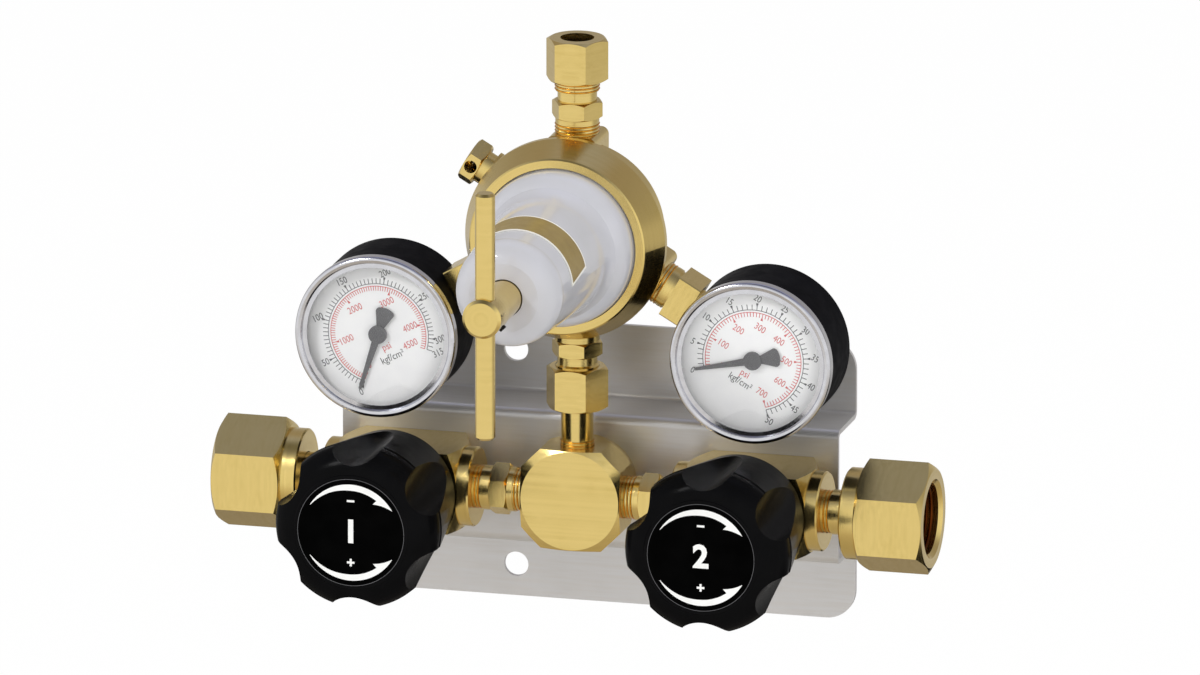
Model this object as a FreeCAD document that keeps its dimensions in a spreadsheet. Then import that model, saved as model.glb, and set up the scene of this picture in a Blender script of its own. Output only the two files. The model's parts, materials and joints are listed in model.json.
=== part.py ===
import FreeCAD, Part
import math
import os
import Sketcher
from FreeCAD import Placement, Rotation, Vector

# Gas cylinder manifold: two inlet valves feed a tee block, which feeds a pressure regulator.
# Frame: origin at the middle of the four wall holes on the bracket's back plane,
# +X to the right, +Y into the wall, +Z up. Lengths are in millimetres.

SIZES = [
    ("fitGap", 0.1, "radial play of a screwed or pressed fit"),
    ("runGap", 0.3, "play of a piece that turns or slides"),
    ("edgeBreak", 0.6, "chamfer on turned edges"),
    ("flowDepth", 49.3, "flow axis in front of the wall"),
    ("valveReach", 71.6, "knob axis from the middle"),
    ("drumHeight", 109.5, "regulator axis above the flow axis"),
    ("bracketMargin", 30.4, "folded plate beyond the knob axis"),
    ("bracketHeight", 115, "folded plate, top to bottom"),
    ("sheet", 2, "plate thickness"),
    ("hatDepth", 30, "front of the plate from the wall"),
    ("hatHeight", 55.3, "height of the raised middle"),
    ("bendRadius", 1.5, "inside radius of a fold"),
    ("flangeCorner", 12, "corner radius of the flanges"),
    ("wallHole", 5, "radius of a wall hole"),
    ("wallHoleX", 38, "wall hole from the middle, sideways"),
    ("wallHoleZ", 44.5, "wall hole from the middle, upwards"),
    ("screwHole", 2.6, "radius of a block screw's clearance hole"),
    ("screwShank", 2.4, "radius of a block screw"),
    ("screwGrip", 8, "screw length in a block"),
    ("screwHead", 4.25, "radius of a screw head"),
    ("screwHeadLength", 4, "height of a screw head"),
    ("screwSocket", 2, "radius of the hexagon socket over its flats"),
    ("valveScrew", 17, "block screw from the knob axis"),
    ("teeScrew", 13, "tee block screw from the middle"),
    ("valveLength", 51, "valve block between its end discs"),
    ("blockHalf", 16.5, "half height of the valve block"),
    ("blockFront", 15.2, "valve block's face from the flow axis"),
    ("blockBlank", 25.2, "radius of the turned valve block"),
    ("discRadius", 16, "radius of an end disc"),
    ("discLength", 5.1, "thickness of an end disc"),
    ("nptRadius", 8.35, "radius of the 3/8 pipe thread"),
    ("engage", 8, "length of pipe thread in its hole"),
    ("boreRadius", 3.5, "radius of the flow passages"),
    ("bonnetBore", 11.3, "radius of the hole for a valve bonnet"),
    ("bonnetBoreDepth", 8, "depth of that hole"),
    ("chamberRadius", 7, "radius of the valve chamber"),
    ("chamberDepth", 12.5, "valve seat below the block's face"),
    ("seatOrifice", 3, "radius of the valve seat's hole"),
    ("crossPassage", 2, "radius of the passage out of the chamber"),
    ("plugRadius", 4.8, "radius of the valve plug"),
    ("plugLength", 6, "length of the valve plug"),
    ("spindleRadius", 4.2, "radius of the valve spindle"),
    ("bonnetHex", 26, "valve bonnet over its flats"),
    ("bonnetHexLength", 8, "length of the bonnet's hexagon"),
    ("bonnetNeck", 9.5, "radius of the bonnet's neck"),
    ("bonnetLength", 20, "valve bonnet in front of the block"),
    ("knobFace", 128.5, "knob's face from the wall"),
    ("knobGap", 1.5, "knob's back in front of the valve block"),
    ("knobRadius", 33.6, "radius over the lobes"),
    ("knobBackRadius", 26, "radius of the knob's back"),
    ("knobShoulder", 13, "lobes' front end behind the face"),
    ("knobFaceRadius", 23.6, "radius of the knob's flat face"),
    ("knobSkirt", 3.2, "wall of the knob's hollow back"),
    ("knobHollow", 27, "depth of the knob's hollow"),
    ("knobHub", 8, "radius of the knob's hub"),
    ("fluteDepth", 6.6, "depth of a finger groove"),
    ("fluteRadius", 12.4, "radius of a finger groove"),
    ("knobLabel", 22, "radius of the knob's label"),
    ("labelThickness", 0.6, "thickness of a printed label"),
    ("teeHalf", 20.4, "tee block from middle to flat"),
    ("teeCorner", 7.95, "corner cut of the tee block"),
    ("teeFront", 61.8, "tee block's face from the wall"),
    ("teeFaceRadius", 20.1, "radius of the tee block's round face"),
    ("teeBlank", 23.9, "radius of the turned tee block"),
    ("teeChamfer", 2.1, "depth of the face's chamfer"),
    ("teeTaper", 14, "length of the tapered back"),
    ("teeBackRadius", 19.5, "radius of the seat on the plate"),
    ("nippleThread", 4.4, "thread seen beside the tee block"),
    ("nippleCollar", 2.2, "collar beside the hexagon"),
    ("nippleHex", 7.4, "length of the nipple's hexagon"),
    ("nippleHexFlats", 18.5, "nipple over its flats"),
    ("collarRadius", 8.95, "radius of the collars"),
    ("nippleEnd", 3, "thread seen beside a valve"),
    ("nippleBore", 4, "radius of the nipple's hole"),
    ("inletThread", 3.1, "thread seen outside a valve"),
    ("inletNeck", 9, "radius of the inlet nipple's neck"),
    ("nutStart", 9.3, "inlet nut from the valve's disc"),
    ("nutCollar", 6.5, "length of the inlet nut's collar"),
    ("nutCollarRadius", 18.35, "radius of that collar"),
    ("nutHexFlats", 40, "inlet nut over its flats"),
    ("nutHexLength", 28, "length of the inlet nut's hexagon"),
    ("nutBore", 14.3, "radius of the inlet nut's thread"),
    ("nutThread", 15, "length of that thread"),
    ("nutRelief", 0.7, "depth of the relief behind that thread"),
    ("mouthChamfer", 1.6, "chamfer of the nut's mouth"),
    ("noseHead", 13.2, "radius of the inlet nipple's head"),
    ("noseHeadLength", 4, "length of that head"),
    ("noseRadius", 8.5, "radius of the inlet nipple's nose"),
    ("noseLength", 7, "length of that nose"),
    ("stubRadius", 6.45, "radius of the riser tube"),
    ("stubThread", 6.6, "radius of the riser's thread"),
    ("stubThreadShow", 2.6, "thread seen above the tee block"),
    ("stubBore", 4.6, "radius of the riser's hole"),
    ("stubDrop", 59.8, "end of the riser tube below the regulator axis"),
    ("riserNutDrop", 73.8, "bottom of the riser nut below the regulator axis"),
    ("riserNutLength", 17.3, "length of the riser nut"),
    ("tubeNutFlats", 22, "tube nut over its flats"),
    ("tubeThread", 8.7, "radius of a tube nut's thread"),
    ("ferruleFloor", 4.4, "tube nut's end wall"),
    ("ferruleCone", 3, "length of the ferrule's cone"),
    ("ferruleLength", 6, "length of a ferrule"),
    ("inletCollar", 8, "radius below the regulator's hexagon"),
    ("inletHexDrop", 52.1, "bottom of the lower hexagon below the regulator axis"),
    ("inletHexLength", 6.3, "length of the lower hexagon"),
    ("fittingFlats", 18, "regulator fittings over their flats"),
    ("portThread", 8.65, "radius of a regulator port's thread"),
    ("drumRadius", 36, "radius of the regulator body"),
    ("rimRadius", 41, "radius of the regulator body's rim"),
    ("rimFront", 68, "rim's front edge from the wall"),
    ("rimBack", 65, "rim's rear edge from the wall"),
    ("rimEnd", 61, "end of the slope behind the rim, from the wall"),
    ("drumFront", 81, "regulator's face from the wall"),
    ("drumBack", 39.1, "regulator's back from the wall"),
    ("drumBackRadius", 31, "radius of the regulator's back"),
    ("drumBore", 32.3, "radius of the bonnet's seat"),
    ("drumBoreDepth", 15, "depth of the bonnet's seat"),
    ("lowRadius", 27, "radius of the low pressure chamber"),
    ("lowDepth", 5.5, "depth of the low pressure chamber"),
    ("highBore", 5.2, "radius of the high pressure bore"),
    ("highDepth", 16.5, "depth of the high pressure bore"),
    ("padReach", 39.5, "port face from the regulator axis"),
    ("padHalf", 10.2, "half width of a port face"),
    ("padRound", 3, "corner radius of a port face"),
    ("portDepth", 9.5, "depth of a port"),
    ("lowPassage", 1.8, "radius of the passages"),
    ("lowPassageAt", 25, "passages from the regulator axis"),
    ("domeRadius", 31.7, "radius of the bonnet's dome"),
    ("domeFlat", 3, "straight edge of the dome"),
    ("domeRun", 17, "length of the dome's curve"),
    ("barrelRear", 24.4, "barrel radius at the dome"),
    ("barrelFront", 21.5, "barrel radius where the nose starts"),
    ("barrelFrontAt", 150, "start of the rounded nose from the wall"),
    ("bonnetFace", 161, "bonnet's front from the wall"),
    ("bonnetFaceRadius", 14, "radius of the flat front"),
    ("springRoom", 17.3, "radius of the spring chamber"),
    ("bonnetWall", 11, "length of the adjusting thread"),
    ("bandRear", 122, "label band's rear edge from the wall"),
    ("bandFront", 140, "label band's front edge"),
    ("bandSlant", 3.1, "how far the band's end slants"),
    ("bandThickness", 0.35, "thickness of the label band"),
    ("screwRadius", 7.4, "radius of the adjusting screw"),
    ("hubRadius", 7.9, "radius of the handle's hub"),
    ("hubRear", 182.2, "hub's rear from the wall"),
    ("hubFront", 194.9, "hub's front from the wall"),
    ("tipRadius", 4.5, "radius of the screw's tip"),
    ("tipAt", 141.3, "end of the tip from the wall"),
    ("barAt", 188.6, "handle bar from the wall"),
    ("barRadius", 4, "radius of the handle bar"),
    ("barLength", 100, "length of the handle bar"),
    ("grubAt", 184, "grub screw from the wall"),
    ("grubRadius", 1.5, "radius of the grub screw"),
    ("grubInner", 5, "grub screw's tip from the axis"),
    ("grubOuter", 8.8, "grub screw's head from the axis"),
    ("buttonRadius", 16, "radius of the upper spring seat"),
    ("buttonLength", 4, "thickness of the upper spring seat"),
    ("springWire", 1.8, "radius of the main spring's wire"),
    ("springMean", 12, "mean radius of the main spring"),
    ("springTurns", 6, "turns of the main spring"),
    ("diaphragmThickness", 0.6, "thickness of the diaphragm"),
    ("plateRadius", 16, "radius of the lower spring seat"),
    ("plateLength", 2.4, "thickness of the lower spring seat"),
    ("plateStud", 4, "radius of the plate's stud"),
    ("nozzleLength", 5, "length of the nozzle"),
    ("nozzleOrifice", 2, "radius of the nozzle's hole"),
    ("poppetRadius", 3.8, "radius of the poppet"),
    ("poppetLength", 5, "length of the poppet's head"),
    ("poppetPin", 1.2, "radius of the poppet's pin"),
    ("poppetWire", 0.5, "radius of a small spring's wire"),
    ("smallTurns", 4, "turns of a small spring"),
    ("outletThread", 4, "thread seen above the regulator"),
    ("outletCollar", 1.9, "collar below the upper hexagon"),
    ("outletHexLength", 7.2, "length of the upper hexagon"),
    ("outletNeck", 7.85, "radius above the upper hexagon"),
    ("outletNeckLength", 4, "length above the upper hexagon"),
    ("outletTail", 4, "thread seen below the outlet nut"),
    ("outletNutLength", 17.3, "length of the outlet nut"),
    ("tubeHole", 6.75, "radius of the outlet nut's hole"),
    ("reliefNeck", 6.7, "radius of the relief valve's neck"),
    ("reliefHexStart", 45, "relief valve's head from the regulator axis"),
    ("reliefHexLength", 6.3, "length of the relief valve's head"),
    ("reliefFlats", 16.5, "relief valve over its flats"),
    ("reliefVent", 2.6, "radius of the relief valve's vent"),
    ("reliefBore", 3.4, "radius of the relief valve's bore"),
    ("reliefSeat", 34, "relief valve's seat from the regulator axis"),
    ("reliefPlunger", 4, "length of the relief plunger"),
    ("gaugeReach", 88.8, "gauge centre from the regulator axis"),
    ("caseRadius", 32.4, "radius of a gauge case"),
    ("caseRebate", 0.4, "step on a gauge case under its bezel"),
    ("caseWall", 1.2, "wall of a gauge case"),
    ("caseBack", 38, "gauge's back from the wall"),
    ("caseFront", 69.6, "gauge case's rim from the wall"),
    ("caseRound", 2.5, "rounding of a gauge's back"),
    ("bezelLip", 0.6, "bezel's edge beyond its gauge case"),
    ("bezelFront", 73.3, "bezel's front from the wall"),
    ("bezelBack", 68.8, "bezel's rear edge from the wall"),
    ("bezelRound", 1.4, "rounding of a bezel's front edge"),
    ("bezelLand", 3, "width of a bezel's front ring"),
    ("bezelBevel", 1.7, "width of a bezel's slope down to the window"),
    ("lensThickness", 1.6, "thickness of a gauge's window"),
    ("dialAt", 66.2, "dial from the wall"),
    ("dialThickness", 0.8, "thickness of a dial"),
    ("pointerAt", 67.6, "pointer from the wall"),
    ("pointerThickness", 0.6, "thickness of a pointer"),
    ("pointerLength", 24, "pointer from hub to tip"),
    ("pointerHub", 3.7, "radius of a pointer's hub"),
    ("pointerWidth", 2.9, "width of a pointer beside its hub"),
    ("pointerTip", 1.1, "width of a pointer's tip"),
    ("pointerTail", 11.4, "pointer's tail from its hub"),
    ("tailWidth", 7, "width of a pointer's tail"),
    ("arborRadius", 1.2, "radius of a pointer's arbor"),
    ("gaugeCollar", 8.8, "radius of a gauge's collar"),
    ("gaugeCollarStart", 42.8, "gauge's collar from the regulator axis"),
    ("gaugeCollarLength", 2.5, "length of that collar"),
    ("squareStart", 46.3, "gauge's square from the regulator axis"),
    ("squareGap", 0.4, "gap between that square and the gauge case"),
    ("squareHalf", 8.9, "half width of the square"),
    ("gaugeNeck", 6.5, "radius of the gauge's neck"),
    ("tubeGap", 0.7, "gap between the gauge's neck and its pressure tube"),
    ("bourdonRadius", 21.5, "mean radius of the pressure tube"),
    ("bourdonAt", 49.3, "pressure tube from the wall"),
    ("tubeHalfThick", 1.4, "half thickness of the pressure tube"),
    ("tubeHalfWidth", 4, "half width of the pressure tube"),
    ("plugThickness", 1.6, "thickness of the relief valve's plug"),
    ("neckGroove", 0.3, "groove between a gauge's collar and its square"),
    ("shoulderGap", 0.4, "gap between the riser's nut and the shoulder of its fitting"),
    ("shoulderSlope", 0.8, "length of that shoulder's slope"),
    ("barChamfer", 1, "chamfer on the handle bar's ends"),
    ("grubSocket", 1.5, "depth of the grub screw's socket"),
]

PORTS = {"outlet": 90, "relief": 150, "left_gauge": 210, "inlet": 270, "right_gauge": 330}
HIGH_PORTS = ("left_gauge", "inlet")
BAND = {"first": 2.3, "last": 166}
GAUGES = {"left": {"side": -1, "port": 210, "zero": 252}, "right": {"side": 1, "port": 330, "zero": 192}}
SIDES = {"left": -1, "right": 1}
TUBE_START = 12
TUBE_SWEEP = 250
HEX = 6
SLOPE30 = math.tan(math.radians(30))


class Size:
    # A length that knows its value and the sheet's expression for it.
    def __init__(self, value, text):
        self.value = float(value)
        self.text = text

    def __add__(self, other):
        other = size(other)
        return Size(self.value + other.value, f"({self.text} + {other.text})")

    def __sub__(self, other):
        other = size(other)
        return Size(self.value - other.value, f"({self.text} - {other.text})")

    def __mul__(self, other):
        other = size(other)
        return Size(self.value * other.value, f"({self.text} * {other.text})")

    def __truediv__(self, other):
        other = size(other)
        return Size(self.value / other.value, f"({self.text} / {other.text})")

    def __neg__(self):
        return Size(-self.value, f"(0 - {self.text})")

    __radd__ = __add__
    __rmul__ = __mul__

    def __rsub__(self, other):
        return size(other) - self


def size(thing):
    return thing if isinstance(thing, Size) else Size(thing, f"({float(thing):.9g})")


class Sheet:
    # The spreadsheet of driving sizes, one attribute for each alias.
    def __init__(self, doc):
        sheet = doc.addObject("Spreadsheet::Sheet", "Sizes")
        for row, (alias, value, note) in enumerate(SIZES, start=1):
            sheet.set(f"A{row}", str(value))
            sheet.setAlias(f"A{row}", alias)
            sheet.set(f"B{row}", note)
            setattr(self, alias, Size(value, f"Sizes.{alias}"))


doc = FreeCAD.newDocument("manifold")
s = Sheet(doc)
doc.recompute()
pieces = []

# Turned pieces are drawn round their own Z axis. These frames lay that axis in the part.
UPRIGHT = Rotation()
FORWARD = Rotation(Vector(1, 0, 0), 90)
ALONG_X = {
    -1: Rotation(Vector(0, 0, 1), Vector(0, 1, 0), Vector(-1, 0, 0), "ZXY"),
    1: Rotation(Vector(0, 0, -1), Vector(0, 1, 0), Vector(1, 0, 0), "ZXY"),
}


def radialFrame(degrees):
    c = math.cos(math.radians(degrees))
    q = math.sin(math.radians(degrees))
    return Rotation(Vector(q, 0, -c), Vector(0, 1, 0), Vector(c, 0, q), "ZXY")


def bind(thing, prop, length):
    thing.setExpression(prop, size(length).text)


def newBody(label, turn=UPRIGHT, at=(0, 0, 0)):
    body = doc.addObject("PartDesign::Body", label)
    body.Label = label
    at = [size(part) for part in at]
    body.Placement = Placement(Vector(*[part.value for part in at]), turn)
    for axis, part in zip("xyz", at):
        bind(body, f"Placement.Base.{axis}", part)
    pieces.append(body)
    return body


def sketchOn(body, role, name, lift=0, spin=0):
    # lift moves the sketch along its plane's normal. spin turns it about the plane's vertical.
    sketch = body.newObject("Sketcher::SketchObject", name)
    plane = next(item for item in body.Origin.OriginFeatures if item.Role == role)
    sketch.AttachmentSupport = [(plane, "")]
    sketch.MapMode = "FlatFace"
    c = math.cos(math.radians(spin))
    q = math.sin(math.radians(spin))
    lift = size(lift)
    offset = Vector(lift.value * q, 0, lift.value * c)
    sketch.AttachmentOffset = Placement(offset, Rotation(Vector(0, 1, 0), spin))
    bind(sketch, "AttachmentOffset.Base.x", lift * q)
    bind(sketch, "AttachmentOffset.Base.z", lift * c)
    return sketch


def pinPoint(sketch, index, end, point):
    # Holds one end of a sketch element at two sizes.
    for kind, axis, length in (("DistanceX", -2, point[0]), ("DistanceY", -1, point[1])):
        if not isinstance(length, Size) and length == 0:
            sketch.addConstraint(Sketcher.Constraint("PointOnObject", index, end, axis))
            continue
        length = size(length)
        number = sketch.addConstraint(Sketcher.Constraint(kind, -1, 1, index, end, length.value))
        bind(sketch, f"Constraints[{number}]", length)


def vector(point):
    return Vector(size(point[0]).value, size(point[1]).value, 0)


def loop(sketch, points):
    # A closed outline. A third entry in a point is a place that an arc to the next point passes.
    first = sketch.GeometryCount
    ends = []
    for number, point in enumerate(points):
        start = vector(point)
        stop = vector(points[(number + 1) % len(points)])
        if len(point) == 2:
            sketch.addGeometry(Part.LineSegment(start, stop), False)
            ends.append((1, 2))
            continue
        arc = Part.Arc(start, vector(point[2]), stop)
        index = sketch.addGeometry(arc, False)
        clockwise = (sketch.getPoint(index, 1) - start).Length > 1e-6
        ends.append((2, 1) if clockwise else (1, 2))
    for number, point in enumerate(points):
        index = first + number
        following = first + (number + 1) % len(points)
        pair = (ends[number][1], ends[(number + 1) % len(points)][0])
        sketch.addConstraint(Sketcher.Constraint("Coincident", index, pair[0], following, pair[1]))
        pinPoint(sketch, index, ends[number][0], point)
    for number, point in enumerate(points):
        if len(point) == 3:
            mark = sketch.addGeometry(Part.Point(vector(point[2])), True)
            sketch.addConstraint(Sketcher.Constraint("PointOnObject", mark, 1, first + number))
            pinPoint(sketch, mark, 1, point[2])


def circle(sketch, centre, radius):
    radius = size(radius)
    index = sketch.addGeometry(Part.Circle(vector(centre), Vector(0, 0, 1), radius.value), False)
    pinPoint(sketch, index, 3, centre)
    number = sketch.addConstraint(Sketcher.Constraint("Radius", index, radius.value))
    bind(sketch, f"Constraints[{number}]", radius)


def turned(body, points, angle=360):
    # Revolves an outline of (radius, height) points about the body's Z axis.
    sketch = sketchOn(body, "XZ_Plane", body.Label + "_profile")
    loop(sketch, points)
    feature = body.newObject("PartDesign::Revolution", body.Label + "_turned")
    feature.Profile = sketch
    feature.ReferenceAxis = (sketch, ["V_Axis"])
    feature.Angle = angle
    doc.recompute()
    return feature


def volume(body):
    return 0 if body.Shape.isNull() else body.Shape.Volume


def takeAway(body, sketch, length=None, back=False, middle=False):
    # Cuts a sketch out of a body, right through where no length is given.
    before = volume(body)
    feature = body.newObject("PartDesign::Pocket", sketch.Name + "_cut")
    feature.Profile = sketch
    feature.Reversed = back
    if middle:
        feature.SideType = "Symmetric"
    if length is None:
        feature.Type = "ThroughAll"
    else:
        feature.Type = "Length"
        feature.Length = size(length).value
        bind(feature, "Length", length)
    doc.recompute()
    if not volume(body) < before - 1e-3:
        raise RuntimeError(f"{feature.Name} cuts nothing")
    return feature


def addOn(body, sketch, length, back=False):
    before = volume(body)
    feature = body.newObject("PartDesign::Pad", sketch.Name + "_pad")
    feature.Profile = sketch
    feature.Reversed = back
    feature.Length = size(length).value
    bind(feature, "Length", length)
    doc.recompute()
    if not volume(body) > before + 1e-3:
        raise RuntimeError(f"{feature.Name} adds nothing")
    return feature


def polygon(count, flats, phase=0):
    # Corners of a regular polygon over its flats, with one flat square to the Y axis at phase 0.
    radius = size(flats) * (0.5 / math.cos(math.pi / count))
    corners = []
    for number in range(count):
        angle = math.radians(90 + phase) + (number + 0.5) * 2 * math.pi / count
        corners.append((radius * round(math.cos(angle), 12), radius * round(math.sin(angle), 12)))
    return corners


def shave(body, corners, reach, name="flats", length=None, lift=0):
    # Mills away what lies outside an outline, between it and a round of the given reach.
    sketch = sketchOn(body, "XY_Plane", f"{body.Label}_{name}", lift)
    loop(sketch, corners)
    circle(sketch, (0, 0), reach)
    return takeAway(body, sketch, length, middle=True)


def drill(body, name, role, centre, radius, lift=0, spin=0, depth=None, back=False, middle=False):
    sketch = sketchOn(body, role, f"{body.Label}_{name}", lift, spin)
    circle(sketch, centre, radius)
    return takeAway(body, sketch, depth, back, middle)


def radialHole(body, name, degrees, height, radius, outer, inner):
    # A hole square to the body's Z axis, from one distance to another.
    drill(body, name, "XZ_Plane", (0, height), radius, lift=outer, spin=degrees + 90, depth=outer - inner)


def swung(points, degrees):
    # The same outline, turned about the body's Z axis.
    c = round(math.cos(math.radians(degrees)), 12)
    q = round(math.sin(math.radians(degrees)), 12)

    def turn(x, y):
        return (x * c - y * q, x * q + y * c)

    return [turn(*point[:2]) + tuple(turn(*via) for via in point[2:]) for point in points]


def chosenEdges(shape, test):
    return [f"Edge{number}" for number, edge in enumerate(shape.Edges, start=1) if test(edge)]


def rounded(body, name, radius, test):
    tip = body.Tip
    feature = body.newObject("PartDesign::Fillet", f"{body.Label}_{name}")
    feature.Base = (tip, chosenEdges(tip.Shape, test))
    feature.Radius = size(radius).value
    bind(feature, "Radius", radius)
    doc.recompute()
    return feature


def hexBlank(flats, start, length, chamfers=(True, True)):
    # Outline points of a hexagon's turned blank, with 30 degree chamfers where asked.
    corner = size(flats) * (0.5 / math.cos(math.pi / HEX))
    flat = size(flats) * 0.49
    drop = (corner - flat) * SLOPE30
    end = start + length
    points = [(flat, start), (corner, start + drop)] if chamfers[0] else [(corner, start)]
    points += [(corner, end - drop), (flat, end)] if chamfers[1] else [(corner, end)]
    return points


def along(edge, axis):
    return edge.Curve.TypeId == "Part::GeomLine" and abs(edge.Curve.Direction.dot(axis)) > 0.999


def near(value, target):
    return abs(value - size(target).value) < 1e-3


def bracket():
    body = newBody("bracket")
    back = -s.hatDepth + s.sheet
    web = s.hatHeight / 2
    edge = s.bracketHeight / 2
    half = s.valveReach + s.bracketMargin
    sketch = sketchOn(body, "YZ_Plane", "bracket_section", -half)
    loop(sketch, [
        (0, edge), (-s.sheet, edge), (-s.sheet, web), (-s.hatDepth, web),
        (-s.hatDepth, -web), (-s.sheet, -web), (-s.sheet, -edge), (0, -edge),
        (0, s.sheet - web), (back, s.sheet - web), (back, web - s.sheet), (0, web - s.sheet),
    ])
    addOn(body, sketch, half * 2)

    def fold(y, z):
        def test(edge):
            middle = edge.CenterOfMass
            return along(edge, Vector(1, 0, 0)) and near(middle.y, y) and near(abs(middle.z), z)
        return test

    rounded(body, "inner_fold", s.bendRadius, fold(back, web - s.sheet))
    rounded(body, "outer_fold", s.bendRadius + s.sheet, fold(-s.hatDepth, web))
    rounded(body, "flange_fold", s.bendRadius, fold(-s.sheet, web))
    rounded(body, "flange_back", s.bendRadius + s.sheet, fold(0, web - s.sheet))
    rounded(body, "corners", s.flangeCorner, lambda item: along(item, Vector(0, 1, 0))
            and near(abs(item.CenterOfMass.z), edge))
    holes = sketchOn(body, "XZ_Plane", "bracket_wall_holes")
    for x in (-s.wallHoleX, s.wallHoleX):
        for z in (-s.wallHoleZ, s.wallHoleZ):
            circle(holes, (x, z), s.wallHole)
    takeAway(body, holes, middle=True)
    screws = sketchOn(body, "XZ_Plane", "bracket_screw_holes")
    for x, z in screwPlaces():
        circle(screws, (x, z), s.screwHole)
    takeAway(body, screws, middle=True)
    return body


def screwPlaces():
    places = [(-s.teeScrew, 0), (s.teeScrew, 0)]
    for side in SIDES.values():
        for step in (-1, 1):
            places.append((side * (s.valveReach + step * s.valveScrew), 0))
    return places


def fixingScrews():
    # Six alike socket screws, held as one group of solids.
    inside = s.hatDepth - s.sheet
    head = inside - s.screwHeadLength
    tip = s.hatDepth + s.screwGrip
    screws = []
    for number, (x, z) in enumerate(screwPlaces(), start=1):
        shank = doc.addObject("Part::Cylinder", f"screw_shank_{number}")
        bind(shank, "Radius", s.screwShank)
        bind(shank, "Height", tip - inside)
        cap = doc.addObject("Part::Cylinder", f"screw_cap_{number}")
        bind(cap, "Radius", s.screwHead)
        bind(cap, "Height", s.screwHeadLength)
        socket = doc.addObject("Part::Prism", f"screw_socket_{number}")
        socket.Polygon = HEX
        bind(socket, "Circumradius", s.screwSocket / math.cos(math.pi / HEX))
        bind(socket, "Height", s.screwHeadLength / 2)
        for item, depth in ((shank, inside), (cap, head), (socket, head)):
            item.Placement = Placement(Vector(0, 0, 0), FORWARD)
            bind(item, "Placement.Base.x", x)
            bind(item, "Placement.Base.y", -depth)
            bind(item, "Placement.Base.z", z)
        whole = doc.addObject("Part::Fuse", f"screw_blank_{number}")
        whole.Base = shank
        whole.Tool = cap
        screw = doc.addObject("Part::Cut", f"screw_{number}")
        screw.Base = whole
        screw.Tool = socket
        screws.append(screw)
    group = doc.addObject("Part::Compound", "fixing_screws")
    group.Label = "fixing_screws"
    group.Links = screws
    pieces.append(group)
    doc.recompute()


def valveBody(side, name):
    body = newBody(f"{name}_valve_body", ALONG_X[side], (side * s.valveReach, -s.flowDepth, 0))
    half = s.valveLength / 2
    end = half + s.discLength
    hole = s.nptRadius + s.fitGap
    drop = (s.blockBlank - s.blockHalf) * SLOPE30
    turned(body, [
        (0, s.engage - end), (hole, s.engage - end), (hole, -end),
        (s.discRadius - s.edgeBreak, -end), (s.discRadius, s.edgeBreak - end), (s.discRadius, -half),
        (s.blockHalf, -half), (s.blockBlank, drop - half),
        (s.blockBlank, half - drop), (s.blockHalf, half),
        (s.discRadius, half), (s.discRadius, end - s.edgeBreak), (s.discRadius - s.edgeBreak, end),
        (hole, end), (hole, end - s.engage), (0, end - s.engage),
    ])
    back = s.flowDepth - s.hatDepth
    shave(body, [
        (s.blockHalf, -s.blockFront), (s.blockHalf, back),
        (-s.blockHalf, back), (-s.blockHalf, -s.blockFront),
    ], s.blockBlank * 2, length=s.valveLength)
    face = s.blockFront
    drill(body, "bonnet_hole", "XZ_Plane", (0, 0), s.bonnetBore, lift=face, depth=s.bonnetBoreDepth)
    drill(body, "chamber", "XZ_Plane", (0, 0), s.chamberRadius, lift=face, depth=s.chamberDepth)
    drill(body, "orifice", "XZ_Plane", (0, 0), s.seatOrifice, lift=face, depth=face)
    drill(body, "passage_in", "XY_Plane", (0, 0), s.boreRadius, depth=end - s.engage, back=True)
    level = s.chamberDepth - face - s.crossPassage / 2
    drill(body, "passage_out", "XY_Plane", (0, level), s.crossPassage, lift=-s.chamberRadius / 2,
          depth=end - s.engage - s.chamberRadius / 2)
    holes = sketchOn(body, "XZ_Plane", f"{name}_valve_screw_holes", -back)
    for step in (-1, 1):
        circle(holes, (0, s.valveScrew * step), s.screwShank + s.fitGap)
    takeAway(body, holes, s.screwGrip + s.fitGap * 3, back=True)


def valveParts(side, name):
    # Pieces on the knob's axis, drawn with Z pointing at the viewer from the wall plane.
    at = (side * s.valveReach, 0, 0)
    face = s.flowDepth + s.blockFront
    seat = face - s.chamberDepth
    plugTop = seat + s.runGap + s.plugLength
    plug = newBody(f"{name}_valve_plug", FORWARD, at)
    turned(plug, [
        (0, seat + s.runGap), (s.plugRadius - s.edgeBreak, seat + s.runGap),
        (s.plugRadius, seat + s.runGap + s.edgeBreak), (s.plugRadius, plugTop), (0, plugTop),
    ])
    bonnet = newBody(f"{name}_valve_bonnet", FORWARD, at)
    bore = s.spindleRadius + s.runGap
    room = s.plugRadius + s.runGap
    outer = s.bonnetBore - s.fitGap
    top = face + s.bonnetLength
    ceiling = plugTop + s.plugLength
    turned(bonnet, [
        (room, face - s.bonnetBoreDepth), (outer, face - s.bonnetBoreDepth), (outer, face),
    ] + hexBlank(s.bonnetHex, face, s.bonnetHexLength) + [
        (s.bonnetNeck, face + s.bonnetHexLength), (s.bonnetNeck, top - s.edgeBreak),
        (s.bonnetNeck - s.edgeBreak, top), (bore, top), (bore, ceiling), (room, ceiling),
    ])
    shave(bonnet, polygon(HEX, s.bonnetHex), s.bonnetHex)
    spindle = newBody(f"{name}_valve_spindle", FORWARD, at)
    knobEnd = s.knobFace - s.knobShoulder / 2
    low = plugTop + s.runGap
    turned(spindle, [
        (0, low), (s.spindleRadius, low), (s.spindleRadius, knobEnd - s.edgeBreak),
        (s.spindleRadius - s.edgeBreak, knobEnd), (0, knobEnd),
    ])
    knob(side, name, at, face + s.knobGap, knobEnd)
    label = newBody(f"{name}_knob_label", FORWARD, at)
    turned(label, [
        (0, s.knobFace - s.labelThickness), (s.knobLabel, s.knobFace - s.labelThickness),
        (s.knobLabel, s.knobFace), (0, s.knobFace),
    ])


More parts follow.
